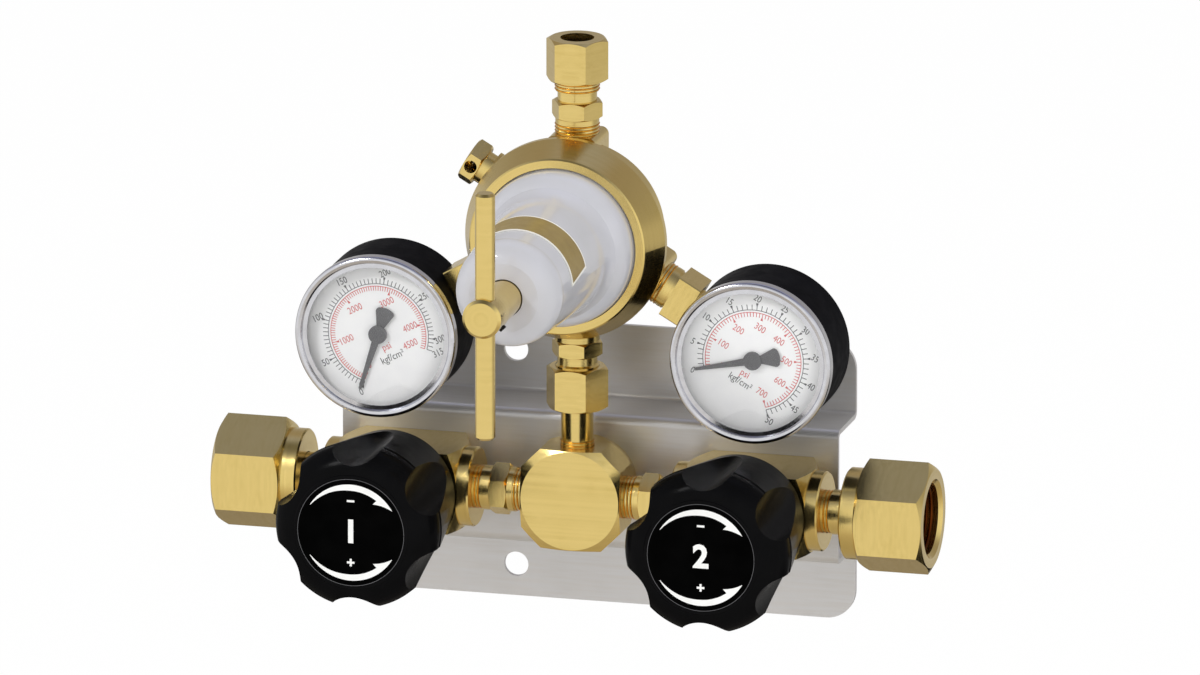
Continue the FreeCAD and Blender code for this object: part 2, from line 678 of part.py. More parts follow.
def knob(side, name, at, rear, hubEnd):
    body = newBody(f"{name}_knob", FORWARD, at)
    shoulder = s.knobFace - s.knobShoulder
    radial = s.knobRadius - s.knobFaceRadius
    skirt = s.knobBackRadius - s.knobSkirt
    floor = rear + s.knobHollow
    spindle = s.spindleRadius + s.fitGap
    pocket = s.knobLabel + s.fitGap
    turned(body, [
        (0, hubEnd + s.fitGap), (spindle, hubEnd + s.fitGap), (spindle, rear + s.bonnetLength),
        (s.knobHub, rear + s.bonnetLength), (s.knobHub, floor), (skirt, floor),
        (skirt, rear), (s.knobBackRadius - 1.5, rear, (s.knobBackRadius - 0.4, rear + 0.45)),
        (s.knobBackRadius, rear + 1.5), (s.knobRadius, shoulder - 1),
        (s.knobRadius - 0.3, shoulder, (s.knobRadius - radial * 0.25, shoulder + s.knobShoulder * 0.66)),
        (s.knobFaceRadius, s.knobFace - 0.4), (s.knobFaceRadius - 0.4, s.knobFace),
        (pocket, s.knobFace), (pocket, s.knobFace - s.labelThickness), (0, s.knobFace - s.labelThickness),
    ])
    flute = sketchOn(body, "XY_Plane", f"{name}_knob_flute")
    away = s.knobRadius - s.fluteDepth + s.fluteRadius
    angle = math.radians(180 / HEX)
    circle(flute, (away * math.cos(angle), away * math.sin(angle)), s.fluteRadius)
    cut = takeAway(body, flute, back=True)
    ring = body.newObject("PartDesign::PolarPattern", f"{name}_knob_flutes")
    ring.Originals = [cut]
    ring.Axis = (flute, ["N_Axis"])
    ring.Angle = 360
    ring.Occurrences = HEX
    body.Tip = ring
    doc.recompute()


def centreNipple(side, name):
    body = newBody(f"{name}_centre_nipple", ALONG_X[side], (0, -s.flowDepth, 0))
    disc = s.valveReach - s.valveLength / 2 - s.discLength
    shoulder = s.teeHalf + s.nippleThread
    hexStart = shoulder + s.nippleCollar
    hexEnd = hexStart + s.nippleHex
    turned(body, [
        (s.nippleBore, s.teeHalf - s.engage + s.fitGap), (s.nptRadius, s.teeHalf - s.engage + s.fitGap),
        (s.nptRadius, shoulder), (s.collarRadius, shoulder), (s.collarRadius, hexStart),
    ] + hexBlank(s.nippleHexFlats, hexStart, s.nippleHex) + [
        (s.collarRadius, hexEnd), (s.collarRadius, disc - s.nippleEnd), (s.nptRadius, disc - s.nippleEnd),
        (s.nptRadius, disc + s.engage - s.fitGap), (s.nippleBore, disc + s.engage - s.fitGap),
    ])
    shave(body, polygon(HEX, s.nippleHexFlats), s.nippleHexFlats)


def inletParts(side, name):
    at = (0, -s.flowDepth, 0)
    disc = s.valveReach + s.valveLength / 2 + s.discLength
    start = disc + s.nutStart
    floor = start + s.nutCollar
    end = floor + s.nutHexLength
    thread = end - s.mouthChamfer - s.nutThread
    head = floor + s.runGap
    nose = head + s.noseHeadLength
    tip = nose + s.noseLength
    nipple = newBody(f"{name}_inlet_nipple", ALONG_X[side], at)
    turned(nipple, [
        (s.boreRadius, disc - s.engage + s.fitGap), (s.nptRadius, disc - s.engage + s.fitGap),
        (s.nptRadius, disc + s.inletThread), (s.inletNeck, disc + s.inletThread), (s.inletNeck, head),
        (s.noseHead, head), (s.noseHead, nose - s.edgeBreak), (s.noseHead - s.edgeBreak, nose),
        (s.noseRadius, nose),
        (s.noseRadius, tip - s.noseRadius / 2, (s.noseRadius * 0.87, tip - s.noseRadius / 4)),
        (s.noseRadius * 0.6, tip), (s.boreRadius, tip),
    ])
    nut = newBody(f"{name}_inlet_nut", ALONG_X[side], at)
    hole = s.inletNeck + s.runGap
    turned(nut, [
        (hole, start), (s.nutCollarRadius - s.edgeBreak, start), (s.nutCollarRadius, start + s.edgeBreak),
        (s.nutCollarRadius, floor),
    ] + hexBlank(s.nutHexFlats, floor, s.nutHexLength) + [
        (s.nutBore + s.mouthChamfer, end), (s.nutBore, end - s.mouthChamfer),
        (s.nutBore, thread), (s.nutBore + s.nutRelief, thread - s.nutRelief),
        (s.nutBore + s.nutRelief, floor), (hole, floor),
    ])
    shave(nut, polygon(HEX, s.nutHexFlats), s.nutHexFlats)


def teeBlock():
    body = newBody("tee_block", FORWARD)
    rear = s.hatDepth
    turned(body, [
        (0, rear), (s.teeBackRadius, rear), (s.teeBlank, rear + s.teeTaper),
        (s.teeBlank, s.teeFront - s.teeChamfer), (s.teeFaceRadius, s.teeFront), (0, s.teeFront),
    ])
    cut = s.teeHalf - s.teeCorner
    corners = []
    for a, b in ((1, 1), (-1, 1), (-1, -1), (1, -1)):
        pair = [(s.teeHalf * a, cut * b), (cut * a, s.teeHalf * b)]
        corners += pair if a * b > 0 else pair[::-1]
    shave(body, corners, s.teeBlank * 2)
    hole = s.nptRadius + s.fitGap
    drill(body, "passage", "YZ_Plane", (0, s.flowDepth), s.nippleBore, depth=s.teeHalf * 2, middle=True)
    drill(body, "right_port", "YZ_Plane", (0, s.flowDepth), hole, lift=s.teeHalf, depth=s.engage)
    drill(body, "left_port", "YZ_Plane", (0, s.flowDepth), hole, lift=-s.teeHalf, depth=s.engage, back=True)
    radialHole(body, "top_port", 90, s.flowDepth, s.stubThread + s.fitGap, s.teeHalf, s.teeHalf - s.engage)
    radialHole(body, "top_passage", 90, s.flowDepth, s.stubBore, s.teeHalf, s.teeHalf * 0)
    holes = sketchOn(body, "XY_Plane", "tee_block_screw_holes", rear)
    for x in (-s.teeScrew, s.teeScrew):
        circle(holes, (x, 0), s.screwShank + s.fitGap)
    takeAway(body, holes, s.screwGrip + s.fitGap * 3, back=True)


def tubeNut(label, start, length, hole, upward):
    # A compression nut. Its thread opens upward or downward, and its cone presses the ferrule.
    at = (0, -s.flowDepth, start if upward else start + length)
    turn = UPRIGHT if upward else Rotation(Vector(1, 0, 0), 180)
    nut = newBody(label, turn, at)
    thread = s.tubeThread + s.fitGap
    cone = s.ferruleFloor + s.ferruleCone
    turned(nut, [(hole, length * 0)] + hexBlank(s.tubeNutFlats, length * 0, length) + [
        (thread, length), (thread, cone), (hole, s.ferruleFloor),
    ])
    shave(nut, polygon(HEX, s.tubeNutFlats), s.tubeNutFlats)
    ferrule = newBody(label.replace("nut", "ferrule"), turn, at)
    inside = s.stubRadius + s.fitGap
    low = s.ferruleFloor + s.fitGap * 3
    wide = s.tubeThread - s.fitGap
    turned(ferrule, [
        (inside, low), (inside + s.fitGap, low), (wide, low + s.ferruleCone),
        (wide, low + s.ferruleLength - s.edgeBreak * 2),
        (inside + 0.4, low + s.ferruleLength), (inside, low + s.ferruleLength),
    ])


def riser():
    at = (0, -s.flowDepth, 0)
    foot = s.teeHalf - s.engage + s.fitGap
    shown = s.teeHalf + s.stubThreadShow
    stubTop = s.drumHeight - s.stubDrop
    nutStart = s.drumHeight - s.riserNutDrop
    hexStart = s.drumHeight - s.inletHexDrop
    stub = newBody("riser_tube", UPRIGHT, at)
    turned(stub, [
        (s.stubBore, foot), (s.stubThread, foot), (s.stubThread, shown), (s.stubRadius, shown),
        (s.stubRadius, stubTop), (s.stubBore, stubTop),
    ])
    tubeNut("riser_nut", nutStart, s.riserNutLength, s.stubRadius + s.fitGap, True)
    fitting = newBody("regulator_inlet_fitting", UPRIGHT, at)
    base = nutStart + s.ferruleFloor + s.ferruleLength + s.fitGap * 4
    shoulder = nutStart + s.riserNutLength + s.shoulderGap
    hexEnd = hexStart + s.inletHexLength
    pad = s.drumHeight - s.padReach
    socket = s.stubRadius + s.fitGap
    turned(fitting, [
        (socket, base), (s.tubeThread, base), (s.tubeThread, shoulder),
        (s.inletCollar, shoulder + s.shoulderSlope),
        (s.inletCollar, hexStart),
    ] + hexBlank(s.fittingFlats, hexStart, s.inletHexLength) + [
        (s.collarRadius, hexEnd), (s.collarRadius, hexEnd + s.nippleCollar),
        (s.portThread, hexEnd + s.nippleCollar), (s.portThread, pad + s.portDepth - s.fitGap),
        (s.stubBore, pad + s.portDepth - s.fitGap), (s.stubBore, stubTop + s.fitGap),
        (socket, stubTop + s.fitGap),
    ])
    shave(fitting, polygon(HEX, s.fittingFlats), s.fittingFlats)


def outletParts():
    at = (0, -s.flowDepth, 0)
    pad = s.drumHeight + s.padReach
    collar = pad + s.outletThread
    hexStart = collar + s.outletCollar
    hexEnd = hexStart + s.outletHexLength
    tail = hexEnd + s.outletNeckLength
    nutStart = tail + s.outletTail
    top = nutStart + s.outletNutLength - s.ferruleFloor - s.ferruleLength - s.fitGap * 4
    fitting = newBody("outlet_fitting", UPRIGHT, at)
    socket = s.stubRadius + s.fitGap
    turned(fitting, [
        (s.stubBore, pad - s.portDepth + s.fitGap), (s.portThread, pad - s.portDepth + s.fitGap),
        (s.portThread, collar), (s.collarRadius - 0.2, collar), (s.collarRadius - 0.2, hexStart),
    ] + hexBlank(s.fittingFlats, hexStart, s.outletHexLength) + [
        (s.outletNeck, hexEnd), (s.outletNeck, tail), (s.tubeThread, tail), (s.tubeThread, top),
        (socket, top), (socket, top - s.portDepth / 2), (s.stubBore, top - s.portDepth / 2),
    ])
    shave(fitting, polygon(HEX, s.fittingFlats), s.fittingFlats)
    tubeNut("outlet_nut", nutStart, s.outletNutLength, s.tubeHole, False)


def regulatorBody():
    body = newBody("regulator_body", FORWARD, (0, 0, s.drumHeight))
    ledge = s.drumFront - s.drumBoreDepth
    floor = ledge - s.lowDepth
    turned(body, [
        (0, s.drumBack), (s.drumBackRadius, s.drumBack), (s.drumRadius, s.flowDepth),
        (s.drumRadius, s.rimEnd), (s.rimRadius, s.rimBack), (s.rimRadius, s.rimFront),
        (s.drumRadius, s.drumFront - s.edgeBreak), (s.drumRadius - s.edgeBreak, s.drumFront),
        (s.drumBore, s.drumFront), (s.drumBore, ledge), (s.lowRadius, ledge), (s.lowRadius, floor),
        (s.highBore, floor), (s.highBore, floor - s.highDepth), (0, floor - s.highDepth),
    ])
    inner = s.padReach * 0.6
    flat = s.padHalf - s.padRound
    bulge = s.padRound * (1 - math.sqrt(0.5))
    outline = [
        (-s.padHalf, inner), (s.padHalf, inner),
        (s.padHalf, s.padReach - s.padRound, (s.padHalf - bulge, s.padReach - bulge)),
        (flat, s.padReach), (-flat, s.padReach, (bulge - s.padHalf, s.padReach - bulge)),
        (-s.padHalf, s.padReach - s.padRound),
    ]
    for port, angle in PORTS.items():
        pad = sketchOn(body, "XY_Plane", f"{port}_pad", s.drumBack)
        loop(pad, swung(outline, angle - 90))
        addOn(body, pad, (s.flowDepth - s.drumBack) * 2)
        radialHole(body, f"{port}_port", angle, s.flowDepth, s.portThread + s.fitGap, s.padReach,
                   s.padReach - s.portDepth)
    end = s.padReach - s.portDepth
    for port, angle in PORTS.items():
        if port in HIGH_PORTS:
            radialHole(body, f"{port}_passage", angle, s.flowDepth, s.lowPassage, end, s.highBore / 2)
            continue
        inner = s.lowPassageAt - s.lowPassage
        radialHole(body, f"{port}_passage", angle, s.flowDepth, s.lowPassage, end, inner)
        c = math.cos(math.radians(angle))
        q = math.sin(math.radians(angle))
        place = (s.lowPassageAt * round(c, 12), s.lowPassageAt * round(q, 12))
        drill(body, f"{port}_drop", "XY_Plane", place, s.lowPassage, lift=floor, depth=floor - s.flowDepth)


def regulatorBonnet():
    body = newBody("regulator_bonnet", FORWARD, (0, 0, s.drumHeight))
    base = s.drumFront - s.drumBoreDepth + s.diaphragmThickness
    start = s.drumFront + s.domeFlat
    wall = s.bonnetFace - s.bonnetWall
    hole = s.screwRadius + s.runGap
    neck = s.domeRadius - s.barrelRear
    nose = s.barrelFront - s.bonnetFaceRadius
    noseLength = s.bonnetFace - s.barrelFrontAt
    turned(body, [
        (s.lowRadius, base), (s.drumBore - s.fitGap, base),
        (s.drumBore - s.fitGap, s.drumFront - s.edgeBreak * 2.5),
        (s.domeRadius, s.drumFront - s.edgeBreak * 1.7),
        (s.domeRadius, start, (s.domeRadius - neck * 0.18, start + s.domeRun * 0.26)),
        (s.domeRadius - neck * 0.63, start + s.domeRun * 0.47,
         (s.domeRadius - neck * 0.86, start + s.domeRun * 0.68)),
        (s.barrelRear, start + s.domeRun),
        (s.barrelFront, s.barrelFrontAt, (s.barrelFront - nose * 0.29, s.barrelFrontAt + noseLength * 0.71)),
        (s.bonnetFaceRadius, s.bonnetFace), (hole, s.bonnetFace),
        (hole, wall), (s.springRoom, wall), (s.springRoom, start), (s.lowRadius, base + s.bonnetWall / 2),
    ])


def bonnetLabel():
    # A band of foil on the upper half of the barrel. Its right end slants forward.
    body = newBody("bonnet_label", FORWARD, (0, 0, s.drumHeight))
    rear = s.drumFront + s.domeFlat + s.domeRun
    slope = (s.barrelRear - s.barrelFront) / (s.barrelFrontAt - rear)
    a = s.barrelRear - slope * (s.bandRear - rear) + s.fitGap / 2
    b = s.barrelRear - slope * (s.bandFront - rear) + s.fitGap / 2
    turned(body, [
        (a, s.bandRear), (a + s.bandThickness, s.bandRear),
        (b + s.bandThickness, s.bandFront), (b, s.bandFront),
    ], angle=BAND["last"] - BAND["first"])
    slant = sketchOn(body, "YZ_Plane", "bonnet_label_end", s.barrelRear + s.bandSlant)
    loop(slant, [
        (-s.bandSlant, s.bandRear - s.bandSlant), (s.bandSlant * 1.17, s.bandRear - s.bandSlant),
        (-s.bandSlant * 0.17, s.bandFront + s.bandSlant), (-s.bandSlant, s.bandFront + s.bandSlant),
    ])
    takeAway(body, slant, s.barrelRear / 2)
    turn = Rotation(Vector(0, 0, 1), BAND["first"])
    body.Placement = Placement(body.Placement.Base, body.Placement.Rotation * turn)
    doc.recompute()


def adjuster():
    at = (0, 0, s.drumHeight)
    screw = newBody("adjusting_screw", FORWARD, at)
    wall = s.bonnetFace - s.bonnetWall
    turned(screw, [
        (0, s.tipAt), (s.tipRadius - s.edgeBreak, s.tipAt), (s.tipRadius, s.tipAt + s.edgeBreak),
        (s.tipRadius, wall - s.tipRadius * 0.67), (s.screwRadius, wall - s.tipRadius * 0.44),
        (s.screwRadius, s.hubRear - s.edgeBreak),
        (s.hubRadius, s.hubRear), (s.hubRadius, s.hubFront - s.edgeBreak * 2),
        (s.hubRadius - s.edgeBreak * 2, s.hubFront),
        (0, s.hubFront),
    ])
    drill(screw, "bar_hole", "XZ_Plane", (0, s.barAt), s.barRadius + s.fitGap,
          depth=s.hubRadius * 4, middle=True)
    radialHole(screw, "grub_hole", -45, s.grubAt, s.grubRadius + s.fitGap, s.hubRadius + 1, s.barRadius * 0.5)
    bar = newBody("handle_bar", UPRIGHT, (0, -s.barAt, s.drumHeight))
    half = s.barLength / 2
    turned(bar, [
        (0, -half), (s.barRadius - s.barChamfer, -half), (s.barRadius, s.barChamfer - half),
        (s.barRadius, half - s.barChamfer), (s.barRadius - s.barChamfer, half), (0, half),
    ])
    grub = newBody("handle_grub_screw", radialFrame(-45), (0, -s.grubAt, s.drumHeight))
    turned(grub, [
        (0, s.grubInner), (s.grubRadius, s.grubInner), (s.grubRadius, s.grubOuter),
        (s.grubRadius / 2, s.grubOuter), (s.grubRadius / 2, s.grubOuter - s.grubSocket), (0, s.grubOuter - s.grubSocket),
    ])
    button = newBody("upper_spring_seat", FORWARD, at)
    top = s.tipAt - s.runGap
    spigot = s.springMean - s.springWire - s.runGap
    turned(button, [
        (0, top - s.buttonLength * 2), (spigot - 1, top - s.buttonLength * 2),
        (spigot, top - s.buttonLength * 2 + 1), (spigot, top - s.buttonLength),
        (s.buttonRadius, top - s.buttonLength), (s.buttonRadius, top), (0, top),
    ])


def spring(label, turn, at, mean, wire, low, high, turns, sides):
    # A coil spring between two faces. Its wire is drawn as a prism of a few sides.
    length = high - low - 2 * wire
    helix = doc.addObject("Part::Helix", f"{label}_path")
    bind(helix, "Radius", mean)
    bind(helix, "Height", length)
    bind(helix, "Pitch", length / turns)
    section = doc.addObject("Part::RegularPolygon", f"{label}_wire")
    section.Polygon = sides
    bind(section, "Circumradius", wire)
    section.Placement = Placement(Vector(size(mean).value, 0, 0), FORWARD)
    bind(section, "Placement.Base.x", mean)
    coil = doc.addObject("Part::Sweep", label)
    coil.Sections = [section]
    coil.Spine = (helix, ["Edge1"])
    coil.Solid = True
    coil.Frenet = True
    lift = turn.multVec(Vector(0, 0, 1))
    at = [size(part) + (low + wire) * round(step, 12) for part, step in zip(at, lift)]
    coil.Placement = Placement(Vector(*[part.value for part in at]), turn)
    for axis, part in zip("xyz", at):
        bind(coil, f"Placement.Base.{axis}", part)
    coil.Label = label
    pieces.append(coil)
    doc.recompute()


def regulatorParts():
    at = (0, 0, s.drumHeight)
    ledge = s.drumFront - s.drumBoreDepth
    floor = ledge - s.lowDepth
    diaphragm = newBody("diaphragm", FORWARD, at)
    hole = s.plateStud + s.fitGap
    turned(diaphragm, [
        (hole, ledge), (s.drumBore - s.fitGap * 2, ledge),
        (s.drumBore - s.fitGap * 2, ledge + s.diaphragmThickness), (hole, ledge + s.diaphragmThickness),
    ])
    plate = newBody("lower_spring_seat", FORWARD, at)
    top = ledge + s.diaphragmThickness + s.plateLength
    spigot = s.springMean - s.springWire - s.runGap
    low = ledge - s.plateLength / 2
    turned(plate, [
        (0, low), (s.plateRadius * 0.75, low), (s.plateRadius * 0.75, ledge), (s.plateStud, ledge),
        (s.plateStud, ledge + s.diaphragmThickness), (s.plateRadius, ledge + s.diaphragmThickness),
        (s.plateRadius, top), (spigot, top), (spigot, top + 2), (0, top + 2),
    ])
    nozzle = newBody("nozzle", FORWARD, at)
    rim = floor + 1
    turned(nozzle, [
        (s.nozzleOrifice, floor - s.nozzleLength), (s.highBore - s.fitGap, floor - s.nozzleLength),
        (s.highBore - s.fitGap, floor), (s.highBore + 1, floor),
        (s.highBore + 1, rim), (s.nozzleOrifice, rim),
    ])
    poppet = newBody("poppet", FORWARD, at)
    head = floor - s.nozzleLength - s.runGap
    turned(poppet, [
        (0, head - s.poppetLength), (s.poppetRadius, head - s.poppetLength), (s.poppetRadius, head - 1.5),
        (s.poppetPin, head), (s.poppetPin, low - s.runGap), (0, low - s.runGap),
    ])
    spring("main_spring", FORWARD, at, s.springMean, s.springWire, top,
           s.tipAt - s.runGap - s.buttonLength, s.springTurns, 8)
    spring("poppet_spring", FORWARD, at, s.poppetRadius - s.poppetWire, s.poppetWire,
           floor - s.highDepth, head - s.poppetLength, s.smallTurns, 4)


def reliefValve():
    frame = radialFrame(PORTS["relief"])
    at = (0, -s.flowDepth, s.drumHeight)
    start = s.padReach - s.portDepth + s.fitGap
    end = s.reliefHexStart + s.reliefHexLength
    collarEnd = s.padReach + s.outletCollar
    body = newBody("relief_valve_body", frame, at)
    turned(body, [
        (s.reliefBore / 2, start), (s.portThread, start), (s.portThread, collarEnd),
        (s.reliefNeck, collarEnd), (s.reliefNeck, s.reliefHexStart),
    ] + hexBlank(s.reliefFlats, s.reliefHexStart, s.reliefHexLength) + [
        (s.reliefBore, end), (s.reliefBore, s.reliefSeat), (s.reliefBore / 2, s.reliefSeat),
    ])
    shave(body, polygon(HEX, s.reliefFlats), s.reliefFlats * 1.5)
    vent = (s.reliefHexStart + end) / 2
    drill(body, "vent", "XZ_Plane", (0, vent), s.reliefVent, lift=s.reliefFlats, depth=s.reliefFlats)
    plunger = newBody("relief_plunger", frame, at)
    low = s.reliefSeat + s.runGap
    loose = s.reliefBore - s.runGap
    turned(plunger, [
        (0, low), (loose - s.edgeBreak, low), (loose, low + s.edgeBreak), (loose, low + s.reliefPlunger),
        (0, low + s.reliefPlunger),
    ])
    plug = newBody("relief_plug", frame, at)
    tight = s.reliefBore - s.fitGap
    plugLow = end - s.plugThickness
    turned(plug, [(0, plugLow), (tight, plugLow), (tight, end), (0, end)])
    spring("relief_spring", frame, at, loose - s.poppetWire, s.poppetWire,
           low + s.reliefPlunger, plugLow, s.smallTurns, 4)


def gaugeParts(name, side, port, zero):
    c = math.cos(math.radians(port))
    q = math.sin(math.radians(port))
    at = (s.gaugeReach * c, 0, s.drumHeight + s.gaugeReach * q)
    frame = radialFrame(port)
    socket = newBody(f"{name}_gauge_socket", frame, (0, -s.flowDepth, s.drumHeight))
    collarEnd = s.gaugeCollarStart + s.gaugeCollarLength
    corner = s.squareHalf * 1.38
    groove = s.portThread - s.neckGroove
    squareEnd = s.gaugeReach - s.caseRadius - s.squareGap
    neckEnd = s.gaugeReach - s.bourdonRadius - s.tubeHalfThick - s.tubeGap
    turned(socket, [
        (s.poppetRadius / 2, s.padReach - s.portDepth + s.fitGap),
        (s.portThread, s.padReach - s.portDepth + s.fitGap), (s.portThread, s.gaugeCollarStart),
        (s.gaugeCollar, s.gaugeCollarStart), (s.gaugeCollar, collarEnd), (groove, collarEnd),
        (groove, s.squareStart), (corner, s.squareStart), (corner, squareEnd),
        (s.gaugeNeck, squareEnd), (s.gaugeNeck, neckEnd), (s.poppetRadius / 2, neckEnd),
    ])
    shave(socket, polygon(4, s.squareHalf * 2), s.squareHalf * 3)
    case = newBody(f"{name}_gauge_case", FORWARD, at)
    inside = s.caseRadius - s.caseWall
    rim = s.caseRadius - s.caseRebate
    turned(case, [
        (0, s.caseBack), (s.caseRadius - s.caseRound, s.caseBack,
                          (s.caseRadius - s.caseRound * 0.293, s.caseBack + s.caseRound * 0.293)),
        (s.caseRadius, s.caseBack + s.caseRound), (s.caseRadius, s.bezelBack - s.fitGap),
        (rim, s.bezelBack - s.fitGap), (rim, s.caseFront), (inside, s.caseFront),
        (inside, s.caseBack + s.caseRound), (0, s.caseBack + s.caseRound),
    ])
    radialHole(case, "neck_hole", port + 180, s.flowDepth, s.gaugeNeck + s.fitGap,
               s.caseRadius * 1.2, s.caseRadius * 0.5)
    lens = newBody(f"{name}_gauge_lens", FORWARD, at)
    lensRadius = rim - s.fitGap
    lensTop = s.caseFront + s.lensThickness
    turned(lens, [(0, s.caseFront), (lensRadius, s.caseFront), (lensRadius, lensTop), (0, lensTop)])
    bezel = newBody(f"{name}_gauge_bezel", FORWARD, at)
    inner = rim + s.fitGap
    outer = s.caseRadius + s.bezelLip
    land = outer - s.bezelLand
    window = land - s.bezelBevel
    bulge = s.bezelRound * (1 - math.sqrt(0.5))
    lip = s.lensThickness / 2
    turned(bezel, [
        (inner, s.bezelBack), (outer, s.bezelBack),
        (outer, s.bezelFront - s.bezelRound, (outer - bulge, s.bezelFront - bulge)),
        (outer - s.bezelRound, s.bezelFront), (land + s.edgeBreak, s.bezelFront - s.edgeBreak / 2),
        (land, s.bezelFront - s.bezelRound), (window, lensTop + lip), (window, lensTop),
        (inner, lensTop),
    ])
    dial = newBody(f"{name}_gauge_dial", FORWARD, at)
    dialRadius = inside - s.fitGap * 2
    hole = s.arborRadius + s.runGap
    turned(dial, [
        (hole, s.dialAt), (dialRadius, s.dialAt),
        (dialRadius, s.dialAt + s.dialThickness), (hole, s.dialAt + s.dialThickness),
    ])
    pointer(name, at, zero)
    bourdon(name, at, port)


def pointer(name, at, zero):
    # A tapered blade with a round hub and a fan tail, drawn pointing along its own X.
    turn = FORWARD * Rotation(Vector(0, 0, 1), zero)
    body = newBody(f"{name}_gauge_pointer", turn, at)
    low = s.pointerAt
    top = low + s.pointerThickness * 2
    turned(body, [
        (0, s.bourdonAt), (s.arborRadius, s.bourdonAt), (s.arborRadius, low), (s.pointerHub, low),
        (s.pointerHub, top), (0, top),
    ])
    blade = sketchOn(body, "XY_Plane", f"{name}_pointer_blade", low)
    tip = s.pointerTip / 2
    root = s.pointerWidth / 2
    fan = s.tailWidth / 2
    hub = s.pointerHub * 0.8
    corner = s.pointerTail - fan * 0.8
    end = s.pointerTail - fan * 0.15
    loop(blade, [
        (s.pointerLength, -tip), (s.pointerLength, tip), (hub, root), (-hub, root),
        (-corner, fan, (fan * 0.35 - s.pointerTail, fan * 1.02)), (-end, fan * 0.75, (-s.pointerTail, 0)),
        (-end, fan * -0.75, (fan * 0.35 - s.pointerTail, fan * -1.02)), (-corner, -fan),
        (-hub, -root), (hub, -root),
    ])
    addOn(body, blade, s.pointerThickness)


def bourdon(name, at, port):
    # The curved pressure tube, closed at its free end, with the block that feeds it.
    turn = FORWARD * Rotation(Vector(0, 0, 1), port + 180 - TUBE_START)
    body = newBody(f"{name}_pressure_tube", turn, at)
    r = s.bourdonRadius
    z = s.bourdonAt
    inner = r - s.tubeHalfThick
    outer = r + s.tubeHalfThick
    back = z - s.tubeHalfWidth
    front = z + s.tubeHalfWidth
    turned(body, [(inner, back), (outer, back), (outer, front), (inner, front)], angle=TUBE_SWEEP)


bracket()
fixingScrews()
for name, side in SIDES.items():
    valveBody(side, name)
    valveParts(side, name)
    centreNipple(side, name)
    inletParts(side, name)
teeBlock()
riser()
regulatorBody()
regulatorBonnet()
bonnetLabel()
adjuster()
regulatorParts()
reliefValve()
outletParts()
for name, gauge in GAUGES.items():
    gaugeParts(name, **gauge)
doc.recompute()

for item in doc.Objects:
    if "Invalid" in item.State or "Error" in item.State:
        raise RuntimeError(f"{item.Label} failed: {item.State}")
for piece in pieces:
    if piece.Shape.isNull() or not piece.Shape.isValid():
        raise RuntimeError(f"{piece.Label} has no valid shape")

os.makedirs("parts", exist_ok=True)
for piece in pieces:
    piece.Shape.exportStep(f"parts/{piece.Label}.step")
print(len(pieces), "pieces written")
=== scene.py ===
import json
import math

import bmesh
import bpy
from mathutils import Matrix, Vector

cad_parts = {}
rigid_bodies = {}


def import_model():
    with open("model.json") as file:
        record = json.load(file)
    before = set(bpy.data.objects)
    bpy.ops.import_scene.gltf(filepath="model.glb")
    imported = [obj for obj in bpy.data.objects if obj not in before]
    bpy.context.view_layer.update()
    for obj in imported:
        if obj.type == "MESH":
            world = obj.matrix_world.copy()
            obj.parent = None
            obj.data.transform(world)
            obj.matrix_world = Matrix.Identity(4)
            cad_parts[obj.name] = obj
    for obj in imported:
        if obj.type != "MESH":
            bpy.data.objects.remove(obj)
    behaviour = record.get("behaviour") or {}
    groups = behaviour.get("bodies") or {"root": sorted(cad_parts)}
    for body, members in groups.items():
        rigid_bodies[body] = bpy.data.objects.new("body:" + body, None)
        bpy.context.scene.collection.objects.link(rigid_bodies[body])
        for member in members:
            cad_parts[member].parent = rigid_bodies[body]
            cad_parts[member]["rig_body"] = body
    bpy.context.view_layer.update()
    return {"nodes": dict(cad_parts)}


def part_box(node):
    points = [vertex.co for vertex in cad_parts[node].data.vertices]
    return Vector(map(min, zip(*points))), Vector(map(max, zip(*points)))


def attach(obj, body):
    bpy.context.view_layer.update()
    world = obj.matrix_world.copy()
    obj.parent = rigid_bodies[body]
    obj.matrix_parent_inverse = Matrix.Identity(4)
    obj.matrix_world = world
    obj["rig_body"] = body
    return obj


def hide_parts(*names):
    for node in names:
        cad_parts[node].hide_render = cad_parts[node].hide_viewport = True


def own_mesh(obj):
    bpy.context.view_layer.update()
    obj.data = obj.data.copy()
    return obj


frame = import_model()
nodes = frame["nodes"]
mm = 0.001
print("stage: frame loaded,", len(nodes), "nodes")

# Axes that the turned pieces are made about, in metres
flowLine = Vector((0, -0.0493, 0))
regulatorLine = Vector((0, -0.0493, 0.1095))
alongX, alongY, alongZ = (1, 0, 0), (0, -1, 0), (0, 0, 1)


def portWay(angle):
    # The way out of one of the regulator's ports
    turned = math.radians(angle)
    return Vector((math.cos(turned), 0, math.sin(turned)))


reliefPort = portWay(150)
leftPort = portWay(210)
rightPort = portWay(330)


def srgb(code):
    parts = [int(code[i:i + 2], 16) / 255 for i in (1, 3, 5)]
    return [p / 12.92 if p <= 0.04045 else ((p + 0.055) / 1.055) ** 2.4 for p in parts] + [1]


def addNode(tree, kind, inputs=(), **settings):
    made = tree.nodes.new(kind)
    for name, value in settings.items():
        setattr(made, name, value)
    for name, value in dict(inputs).items():
        if isinstance(value, bpy.types.NodeSocket):
            tree.links.new(value, made.inputs[name])
        else:
            made.inputs[name].default_value = value
    return made


def calculate(tree, operation, *values, clamp=False):
    # One step of arithmetic on sockets or numbers
    made = addNode(tree, "ShaderNodeMath", dict(enumerate(values)), operation=operation, use_clamp=clamp)
    return made.outputs[0]


